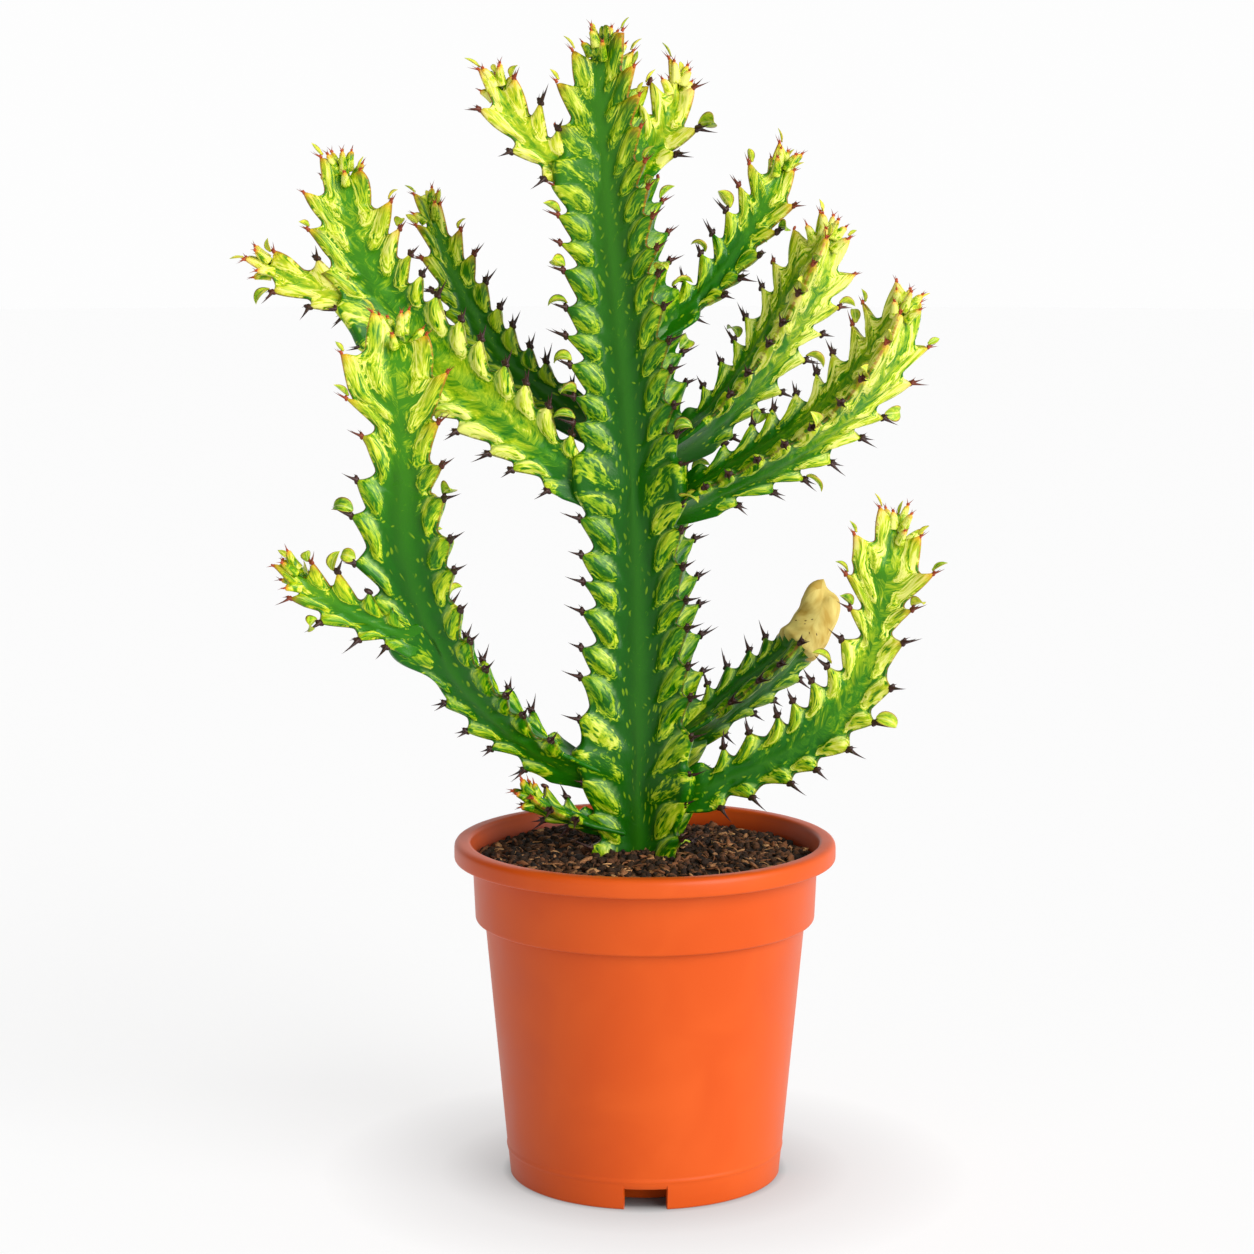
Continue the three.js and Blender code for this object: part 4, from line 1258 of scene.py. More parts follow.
            def at_corners(values: np.ndarray) -> np.ndarray:
                """The values at the four corners of each face of this wing, of shape (faces, 4, last axis)."""
                quad = [values[:-1, :-1], values[:-1, 1:], values[1:, 1:], values[1:, :-1]]
                return np.stack(quad, axis=2).reshape(len(corners), 4, -1)

            dried = at_corners(surface["dried"][..., None]).mean(axis=(1, 2))
            corky = dried + 0.12 * np.sin(corners[:, 0] * 0.9) > 0.5
            shell.add_faces(
                corners,
                np.where(corky, Part.DRIED, Part.SKIN),
                at_corners(surface["skin_map"]),
                at_corners(surface["skin_form"]),
            )
        foot = shell.add_points(self.axis.at(np.array([-0.2]))[0])
        highest = grid[-1].mean(axis=0) + self.axis.at(np.array([self.length]))[1][0] * 0.6
        apex = shell.add_points(highest[None])
        age = surfaces[0]["skin_form"][-1, 0]
        shell.add_faces(fan_faces(first, total, foot, onward=False), Part.SKIN)
        end = Part.DRIED if self.withered_from else Part.SKIN
        shell.add_faces(fan_faces(first + steps * total, total, apex), end, BARE, age)

    # -- what grows on it --

    def tooth_tips(self) -> list["ToothTip"]:
        """Every tooth's place, directions and age.

        Returns:
            The tips, wing by wing from the foot up.
        """
        tips = []
        for wing in range(len(self.wings)):
            steps = np.linspace(0, self.ring_count + 0.4, self.ring_count * 20)
            phases = self.tooth_phase(wing, steps)
            rings = np.interp(np.arange(1, phases[-1], 2), phases, steps)
            distance = self.place_of(wing, rings)
            centre, along, front, right = self.frame_at(distance)
            outward, sideways = self.facing(wing, distance, front, right)
            reach = self.edge(wing, rings) + SECTION.margin * 0.6
            toothed = self.toothed(distance)
            point = centre + outward * reach[:, None] + self.lean(wing, rings, along, toothed)
            ages = distance / self.length
            for i in np.flatnonzero(toothed * self.armed(wing, rings) > 0.4):
                tips.append(ToothTip(point[i], outward[i], sideways[i], along[i], float(ages[i])))
        return tips

    def clear_of(self, point: np.ndarray, others: list["Stem"], margin: float) -> bool:
        """Whether a point lies outside every other stem.

        Args:
            point: The point, in mm.
            others: All the plant's stems.
            margin: How far outside it has to lie, in mm.

        Returns:
            True where it does.
        """
        for other in others:
            if other is self:
                continue
            gap = np.linalg.norm(other.samples[:, :3] - point, axis=1) - other.samples[:, 3]
            if gap.min() < margin:
                return False
        return True

    def arm(self, shell: Shell, others: list["Stem"]) -> None:
        """Adds the spine shields, the paired spines and the leaves.

        Args:
            shell: Gathers the mesh.
            others: All the plant's stems.
        """
        for tip in self.tooth_tips():
            size, leaf_chance, spread, tilt, hue, roll = self.draws.uniform(0, 1, 6)
            young = float(eased(tip.age, YOUNG_FROM, YOUNG_AT))
            if not self.clear_of(tip.point, others, -2.0):
                continue
            shield = np.array(SPINE.shield) * (1 - 0.5 * young)
            add_pebble(shell, tip.point, (tip.outward, tip.sideways, tip.along), shield, Part.HORN, tip.age)
            length = blend(SPINE.length, SPINE.young_length, young) * (0.75 + 0.5 * size)
            radius = blend(SPINE.radius, SPINE.young_radius, young)
            for sign in (-1, 1):
                aim = unit(
                    tip.outward * 0.9
                    + tip.along * (0.2 + 0.4 * young + 0.3 * (tilt - 0.5))
                    + tip.sideways * sign * (SPINE.spread + 0.25 * (spread - 0.5))
                )
                root = tip.point + tip.sideways * sign * SPINE.root
                if self.clear_of(root + aim * length, others, -1.0):
                    add_spine(shell, root, aim, tip.along * 0.16, length, radius, tip.age)
                above = tip.point + tip.along * shield[2] * 0.7 + tip.sideways * sign * 0.6
                prickle = unit(tip.outward * 0.6 + tip.along * (0.5 + 0.4 * hue) + tip.sideways * sign * 0.8)
                if young < SPINE.prickle_until:
                    short = SPINE.prickle * (0.7 + 0.6 * size)
                    add_spine(shell, above, prickle, tip.along * 0.1, short, SPINE.prickle_radius, tip.age)
            if leaf_chance > (LEAF.young_share if young > 0.5 else LEAF.share) or tip.age < self.leafy:
                continue
            aim = unit(tip.outward * (0.8 - 0.3 * young) + tip.along * (0.6 + 0.3 * young))
            length = blend(LEAF.length, LEAF.young_length, young) * (0.75 + 0.5 * size)
            width = blend(LEAF.width, LEAF.young_width, young) * (0.85 + 0.3 * spread)
            root = tip.point + tip.along * (1.9 - 1.2 * young) - tip.outward * 0.9
            droop = (1.7 - 1.2 * young) * (0.6 + 0.7 * tilt)
            rolled = (roll - 0.5) * LEAF.roll * (1 - 0.5 * young)
            face_up = tip.along * math.cos(rolled) + tip.sideways * math.sin(rolled)
            if self.clear_of(root + aim * length * 0.7, others, 0.0):
                add_leaf(shell, root, aim, face_up, length, width, droop, 0.3 * hue + 0.2 * young, tip.age)

    def crown(self, shell: Shell) -> None:
        """Adds the young teeth that stand round the growing tip, each with its own small spines.

        Args:
            shell: Gathers the mesh.
        """
        if self.withered_from is not None:
            return
        centre, along, front, right = (a[0] for a in self.frame_at(np.array([self.length - 1.5])))
        size = float(curve_value(self.reach, self.length))
        count = LOBE.fewest + sum(size > limit for limit in LOBE.more_from)
        pale = float(curve_value(self.pallor, 1.0))
        for i in range(count):
            shift, wide, tall = self.draws.uniform(0, 1, 3)
            turn = i * LOBE.turn + 0.5 * shift + self.wobble[0][3]
            out = right * math.cos(turn) - front * math.sin(turn)
            outer = i % 2
            aim = unit(along + out * (0.1 + 0.2 * wide + 0.3 * outer))
            root = centre + out * size * (0.16 + 0.12 * wide + 0.16 * outer) - along * (1.5 * wide + 4.5 * outer)
            low, high = LOBE.length
            length = (low + (high - low) * tall) * min(1.0, 0.55 + size / 28) * (1 - 0.12 * outer)
            end, side = add_lobe(shell, root, aim, out, length, pale)
            add_pebble(shell, end, (out, side, aim), np.array([0.6, 0.9, 0.6]), Part.HORN, 1.0)
            for sign in (-1, 1):
                point_way = unit(aim + side * sign * (0.5 + 0.4 * shift) + out * 0.25)
                add_spine(shell, end, point_way, out * 0.1, LOBE.spine * (0.8 + 0.4 * tall), LOBE.spine_radius, 1.0)

    def build(self, others: list["Stem"], materials: list[bpy.types.Material]) -> bpy.types.Object:
        """Builds the stem as one piece that stands for its CAD node.

        Args:
            others: All the plant's stems.
            materials: Skin, spine, leaf and dried tissue.

        Returns:
            The stem's object.
        """
        shell = Shell()
        self.sweep(shell)
        self.arm(shell, others)
        self.crown(shell)
        obj = shell.to_object(f"{self.node}_living", materials)
        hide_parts(self.node)
        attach(obj, "root")
        return obj


def ball_grid(rows: int, columns: int) -> tuple[np.ndarray, list[np.ndarray]]:
    """A unit ball's points and faces.

    Args:
        rows: Bands of faces from pole to pole.
        columns: Faces in each band.

    Returns:
        The points, and the faces as one array of triangles and one of quads.
    """
    polar = np.linspace(0, np.pi, rows + 1)[1:-1]
    turn = full_turn(columns)
    bands = [np.outer(np.sin(polar), np.cos(turn)), np.outer(np.sin(polar), np.sin(turn))]
    bands.append(np.outer(np.cos(polar), np.ones(columns)))
    body = np.stack(bands, axis=-1).reshape(-1, 3)
    points = np.vstack([body, [[0, 0, 1.0], [0, 0, -1.0]]])
    north, south = len(body), len(body) + 1
    caps = [fan_faces(0, columns, north), fan_faces((rows - 2) * columns, columns, south, onward=False)]
    return points, [np.vstack(caps), tube_faces(0, rows - 1, columns)[:, ::-1]]


SHIELD_BALL = ball_grid(6, 10)
GRAIN_BALL = ball_grid(4, 6)


def add_pebble(
    shell: Shell,
    centre: np.ndarray,
    axes: tuple[np.ndarray, np.ndarray, np.ndarray],
    half_sizes: np.ndarray,
    material: int,
    age: float,
) -> None:
    """Adds a rounded oval lump, such as a spine shield.

    Args:
        shell: Gathers the mesh.
        centre: Its middle, in mm.
        axes: Its three unit directions.
        half_sizes: Its half sizes along them, in mm.
        material: The material's number.
        age: The growth's age, from 0 at the foot to 1 at the tip.
    """
    ball, faces = SHIELD_BALL
    first = shell.add_points(centre + ball @ (np.array(axes) * np.asarray(half_sizes)[:, None]))
    place = np.column_stack([ball * 2.0 + centre, np.zeros(len(ball))])
    for corners in faces:
        shell.add_faces(first + corners, material, place[corners], (0.2, 0.0, age, 0.0))


def add_tube(
    shell: Shell, rings: np.ndarray, ends: np.ndarray, material: int, skin_map: np.ndarray, skin_form: np.ndarray
) -> None:
    """Adds a closed body that is swept through rings of points.

    Args:
        shell: Gathers the mesh.
        rings: The rings' points, of shape (rings, sides, 3), counted anticlockwise seen from the far end.
        ends: The two points that close it, of shape (2, 3).
        material: The material's number.
        skin_map: The first attribute at each ring point, of shape (rings, sides, 4).
        skin_form: The second attribute, in the same shape.
    """
    count, sides = rings.shape[:2]
    first = shell.add_points(rings.reshape(-1, 3))
    quads = tube_faces(first, count, sides)
    where, form = (np.broadcast_to(a, (count, sides, 4)).reshape(-1, 4) for a in (skin_map, skin_form))
    shell.add_faces(quads, material, where[quads - first], form[quads - first])
    last = first + (count - 1) * sides
    foot, tip = shell.add_points(ends[:1]), shell.add_points(ends[1:])
    shell.add_faces(fan_faces(first, sides, foot, onward=False), material, where[0], form[0])
    shell.add_faces(fan_faces(last, sides, tip), material, where[-1], form[-1])


def add_spine(
    shell: Shell,
    root: np.ndarray,
    aim: np.ndarray,
    bend: np.ndarray,
    length: float,
    radius: float,
    age: float,
) -> None:
    """Adds one stout spine: wide at its root, hollow-sided, slightly curved, and ending in a fine point.

    Args:
        shell: Gathers the mesh.
        root: Where it grows from, in mm.
        aim: Its direction.
        bend: How its tip is carried aside, as a share of its length.
        length: Its length in mm.
        radius: Its radius at the root in mm.
        age: The growth's age.
    """
    across = unit(np.cross(aim, UP + FRONT * 0.3))
    around = circle(1.0, SPINE.sides) @ np.array([across, np.cross(aim, across)])
    t = np.linspace(0, 1, SPINE.rings + 1)[:-1]
    thick = radius * (0.62 * (1 - t) + 0.38 * (1 - t) ** 4)
    spots = root - aim * 0.6 + np.outer(t * length, aim) + np.outer(t * t * length, bend)
    rings = spots[:, None] + around * thick[:, None, None]
    ends = np.array([root - aim * 0.9, root - aim * 0.6 + (aim + bend) * length])
    ones = np.ones((len(t), SPINE.sides))
    share = t[:, None] * ones
    where = np.stack([share * length, ones * root[0], ones * root[2], 0 * ones], axis=-1)
    form = np.stack([share, 0 * ones, age * ones, 0 * ones], axis=-1)
    add_tube(shell, rings, ends, Part.HORN, where, form)


def add_lobe(
    shell: Shell, root: np.ndarray, aim: np.ndarray, outward: np.ndarray, length: float, pale: float
) -> tuple[np.ndarray, np.ndarray]:
    """Adds a finger-like young tooth at a growing tip.

    Args:
        shell: Gathers the mesh.
        root: Where it grows from, in mm.
        aim: Its direction.
        outward: The way that its yellow side faces.
        length: Its length in mm.
        pale: How yellow it is.

    Returns:
        Its tip, and the direction across it.
    """
    side = unit(np.cross(aim, outward))
    out = np.cross(side, aim)
    t = np.linspace(0, 1, LOBE.rows + 1)
    turn = full_turn(LOBE.sides)
    thick = LOBE.radius * (1 - 0.52 * t**1.2) * np.sqrt(1 - np.clip((t - 0.82) / 0.185, 0, 0.98) ** 2)
    spots = root + np.outer(t * length, aim) + np.outer(0.2 * length * t * t, out)
    around = np.outer(np.cos(turn), out) * 1.1 + np.outer(np.sin(turn), side) * 0.85
    rings = spots[:, None] + around * thick[:, None, None]
    tip = spots[-1] + aim * 0.25
    ones = np.ones((len(t), LOBE.sides))
    run = t[:, None] * ones
    facing = eased(np.cos(turn), -0.75, 0.2) * ones
    where = [run * length, turn * LOBE.radius * ones, ones * root[0], eased(run, 0.7, 1.0)]
    form = [0.5 + 0.35 * facing, 0 * ones + 0.5, ones, (pale + 0.1 * facing - 0.05) * ones]
    add_tube(
        shell, rings, np.array([root - aim * 0.5, tip]), Part.SKIN, np.stack(where, axis=-1), np.stack(form, axis=-1)
    )
    return tip, side


def add_leaf(
    shell: Shell,
    root: np.ndarray,
    aim: np.ndarray,
    face_up: np.ndarray,
    length: float,
    width: float,
    droop: float,
    warmth: float,
    age: float,
) -> None:
    """Adds a small fleshy leaf: ovate, cupped along its midrib, curling over, with a pointed tip.

    Args:
        shell: Gathers the mesh.
        root: Where it grows from, in mm.
        aim: Its direction at the root.
        face_up: The way its upper side faces.
        length: Its length in mm.
        width: Its full width in mm.
        droop: How far it curls over, in radians.
        warmth: How yellow it is, from 0 to 0.5.
        age: The growth's age.
    """
    rows, columns = LEAF.rows, LEAF.columns
    side = unit(np.cross(aim, face_up))
    top = np.cross(side, aim)
    t = np.linspace(0, 1, rows + 1)
    v = np.linspace(-1, 1, columns + 1)
    curl = droop * t**1.3
    middles = (curl[:-1] + curl[1:]) / 2
    spine_along = np.concatenate([[0], np.cumsum(np.cos(middles))]) / rows * length
    spine_top = -np.concatenate([[0], np.cumsum(np.sin(middles))]) / rows * length
    outline = np.sin(np.pi * t**0.8) ** 0.8 * width / 2
    outline = np.maximum(outline, 0.3 + 0.5 * (1 - t) ** 3)
    outline[-1] = 0.15
    centre = root + np.outer(spine_along, aim) + np.outer(spine_top, top)
    normal = np.outer(np.sin(curl), aim) + np.outer(np.cos(curl), top)
    bow = 0.5 * v**2 * outline[:, None]
    body = 0.5 * LEAF.thickness * (0.35 + 0.65 * np.sin(np.pi * t * 0.85 + 0.35))
    half = np.sqrt(np.clip(1 - v**2, 0, 1)) * body[:, None]
    sheet = centre[:, None] + side * (outline[:, None] * v)[..., None]
    upper = sheet + normal[:, None] * (bow + half)[..., None]
    lower = sheet + normal[:, None] * (bow - half)[..., None]
    rings = np.concatenate([upper[:, ::-1], lower[:, 1:-1]], axis=1)
    v_ring = np.abs(np.concatenate([v[::-1], v[1:-1]]))
    ones = np.ones((rows + 1, len(v_ring)))
    where = np.stack([t[:, None] * length * ones, v_ring * width * ones, ones * root[0], 0 * ones], axis=-1)
    form = np.stack([warmth * ones, v_ring * ones, age * ones, 0 * ones], axis=-1)
    ends = np.array([centre[0] - aim * 0.4, centre[-1] + unit(centre[-1] - centre[-2]) * 0.35])
    add_tube(shell, rings, ends, Part.LEAF, where, form)


PLANT = [
    Stem(
        "stem_main", "green_stem", Skin.GREEN,
        [(-1, 0, 104), (-1, 0, 190), (-1, 0, 245), (-3, 0, 300), (-7, 0, 356), (-11, 0, 396), (-15, 0, 434),
         (-18, 0, 472), (-18, 0, 502)],
        [(0, 24), (44, 24), (90, 30), (130, 29.5), (160, 27), (260, 27), (330, 24), (372, 22), (398, 15)],
        (0, 0), 15.6, (5.5, 6.5), 44, 0.42, 3,
        [(0, 0.04), (0.35, 0.0), (0.6, -0.06), (0.82, 0.0), (0.95, 0.12), (1, 0.26)],
        wings=(-158.0, -48.0, 28.0, 112.0), carried=False, crowding=0.16, fresh_from=0.8,
        seats=[(0, 188), (0, 312), (3, 344), (0, 447), (2, 452), (2, 382), (2, 328), (1, 310), (1, 178), (2, 198)],
    ),
    Stem(
        "branch_left_low", "variegated_stem", Skin.MARBLED,
        [(-12, -1, 178), (-40, -10, 191), (-64, -21, 212), (-83, -32, 237), (-95, -38, 265), (-101, -42, 294),
         (-102, -43, 325), (-104, -43, 355), (-106, -42, 380)],
        [(0, 6), (20, 9), (36, 13), (64, 15.5), (95, 18), (125, 22), (153, 26), (176, 22), (196, 18), (208, 20),
         (222, 28), (238, 25), (250, 17)],
        (-70, -30), 16, (5.5, 7), 36, 0.45, 5,
        [(0, 0.02), (0.3, -0.06), (0.65, -0.02), (0.8, 0.12), (1, 0.36)],
        bare=(2, 80, 132), fresh_from=0.68, seats=[(2, 251)],
    ),
    Stem(
        "shoot_left_low", "young_shoot", Skin.YOUNG,
        [(-90, -36, 243), (-106, -39, 250), (-122, -42, 257.5), (-138, -46, 268), (-151, -50, 279)],
        [(0, 7), (20, 9), (34, 12), (56, 13), (71, 9)],
        (-30, -30), 16, (5, 6), 20, 0.6, 7,
        [(0, -0.1), (0.5, -0.04), (1, 0.16)],
    ),
    Stem(
        "branch_left_high", "variegated_stem", Skin.MARBLED,
        [(-9, -2, 299), (-37, -3, 319), (-59, 0, 337), (-83, 4, 357), (-105, 8, 380), (-120, 9, 402), (-128, 8, 426),
         (-132, 6, 448)],
        [(0, 7), (20, 10), (35, 15), (62, 20), (95, 22), (150, 22), (176, 22), (190, 20), (200, 14)],
        (-28, -30), 14.6, (5.5, 7.5), 34, 0.4, 11,
        [(0, 0.0), (0.14, 0.1), (0.26, 0.42), (0.5, 0.36), (0.7, 0.2), (1, 0.32)],
        fresh_from=0.66, seats=[(2, 385)],
    ),
    Stem(
        "shoot_left_high", "young_shoot", Skin.YOUNG,
        [(-108, 7, 381), (-122, 7, 387.5), (-138, 5, 394), (-154, 2, 401), (-167, 0, 408)],
        [(0, 6), (16, 8), (28, 11), (52, 13), (65, 9)],
        (-30, -30), 16, (5, 6), 20, 0.6, 13,
        [(0, 0.1), (0.3, 0.4), (1, 0.44)],
        fresh_from=0.1,
    ),
    Stem(
        "branch_left_back", "green_stem", Skin.GREEN,
        [(-10, 8, 326), (-40, 24, 346), (-64, 34, 365), (-79, 41, 387), (-89, 45, 409), (-97, 47, 432)],
        [(0, 6), (18, 9), (40, 12), (80, 13.5), (115, 13), (140, 9)],
        (-30, -30), 13, (4, 5), 38, 0.5, 17,
        [(0, -0.08), (0.5, 0.04), (1, 0.26)],
        fresh_from=0.6,
    ),
    Stem(
        "shoot_top_left", "young_shoot", Skin.YOUNG,
        [(-20, 0, 442), (-40, -4, 452), (-52, -7, 464), (-60, -9, 476), (-64, -10, 485)],
        [(0, 6), (12, 8), (20, 11), (40, 14), (54, 14.5), (64, 10)],
        (-35, -30), 16, (6, 7), 22, 0.5, 19,
        [(0, 0.05), (0.2, 0.36), (1, 0.46)],
        fresh_from=0.1,
    ),
    Stem(
        "shoot_top_right", "young_shoot", Skin.YOUNG,
        [(-12, 4, 440), (1, 9, 453), (9.5, 12, 466), (13.5, 14, 478), (14.5, 14, 486.5)],
        [(0, 5), (12, 8), (20, 12), (32, 16), (46, 13), (55, 9)],
        (-40, -35), 16, (6, 7), 22, 0.5, 23,
        [(0, 0.2), (0.4, 0.36), (1, 0.46)],
        fresh_from=0.2,
    ),
    Stem(
        "branch_right_top", "variegated_stem", Skin.MARBLED,
        [(-6, 4, 368), (18, 14, 385), (35, 18, 403), (47, 21, 421), (56, 23, 437), (62, 24, 450)],
        [(0, 5), (20, 8), (40, 11), (72, 13.5), (95, 15.5), (110, 11)],
        (-70, -35), 13, (4.5, 6.5), 36, 0.45, 29,
        [(0, 0.0), (0.5, 0.08), (1, 0.28)],
    ),
    Stem(
        "branch_right_upper", "variegated_stem", Skin.MARBLED,
        [(-2, 0, 318), (26, 3, 336), (45, 6, 356), (59, 8, 376), (70, 9, 396), (78, 10, 412), (81, 10, 420)],
        [(0, 6), (20, 10), (38, 14), (64, 17), (95, 19), (115, 21), (126, 17), (134, 12)],
        (-100, -95), 14, (5, 8), 38, 0.4, 31,
        [(0, -0.12), (0.35, 0.1), (0.6, 0.36), (1, 0.48)],
    ),
    Stem(
        "branch_right_middle", "variegated_stem", Skin.MARBLED,
        [(-2, -3, 293), (28, -14, 310), (53, -23, 324), (75, -30, 339), (91, -35, 356), (103, -38, 374),
         (110, -39, 391)],
        [(0, 4), (10, 6), (20, 10), (36, 14), (64, 18), (120, 19.5), (145, 19.5), (156, 12)],
        (-100, -95), 15, (5, 8), 40, 0.35, 37,
        [(0, -0.14), (0.36, 0.04), (0.58, 0.34), (1, 0.48)],
    ),
    Stem(
        "branch_right_low", "variegated_stem", Skin.MARBLED,
        [(-2, -3, 168), (29, -13, 178), (53, -21, 190), (75, -28, 205), (90, -33, 223), (98, -36, 244),
         (102, -37, 265), (106, -38, 285), (108, -38, 297)],
        [(0, 6), (20, 9), (36, 13), (70, 16), (98, 18.5), (122, 16), (148, 14), (160, 18.5), (171, 24), (182, 19),
         (191, 13)],
        (-50, -35), 14.4, (5, 7.5), 40, 0.45, 41,
        [(0, -0.04), (0.35, 0.08), (0.6, 0.3), (1, 0.46)],
    ),
    Stem(
        "branch_right_withered", "green_stem", Skin.GREEN,
        [(-2, 3, 190), (26, 10, 203), (46, 15, 217), (62, 20, 229), (73, 24, 241), (79, 26, 252), (81, 27, 261)],
        [(0, 6), (20, 9), (34, 12), (56, 14), (74, 13.5), (92, 11), (113, 9.5)],
        (-95, -95), 13, (5, 2.5), 38, 1.0, 43,
        [(0, 0.0), (1, 0.05)],
        withered_from=0.72,
    ),
    Stem(
        "shoot_foot_left", "green_stem", Skin.GREEN,
        [(-10, -4, 156), (-30, -11, 163), (-44, -16, 169), (-53, -19, 176)],
        [(0, 4), (20, 6), (30, 7.5), (50, 6.5)],
        (-90, -90), 11, (3, 4), 24, 1.0, 47,
        [(0, 0.0), (1, 0.1)],
    ),
]


# ---- Pot and soil ----


def filleted(corners: list[tuple[float, float, float]], steps: int = 4) -> list[tuple[float, float]]:
    """Rounds the corners of a profile.

    Args:
        corners: (radius, height, fillet) of each corner.
        steps: Pieces that each fillet is drawn in.

    Returns:
        The rounded profile's (radius, height) points.
    """
    rounded = []
    for k, (x, z, fillet) in enumerate(corners):
        here = np.array([x, z])
        if fillet <= 0 or k in (0, len(corners) - 1):
            rounded.append((x, z))
            continue
        before = np.array(corners[k - 1][:2]) - here
        after = np.array(corners[k + 1][:2]) - here
        cut = min(fillet, 0.45 * np.linalg.norm(before), 0.45 * np.linalg.norm(after))
        start, end = here + unit(before) * cut, here + unit(after) * cut
        for s in np.linspace(0, 1, steps + 1):
            point = (1 - s) ** 2 * start + 2 * s * (1 - s) * here + s * s * end
            rounded.append((float(point[0]), float(point[1])))
    return rounded


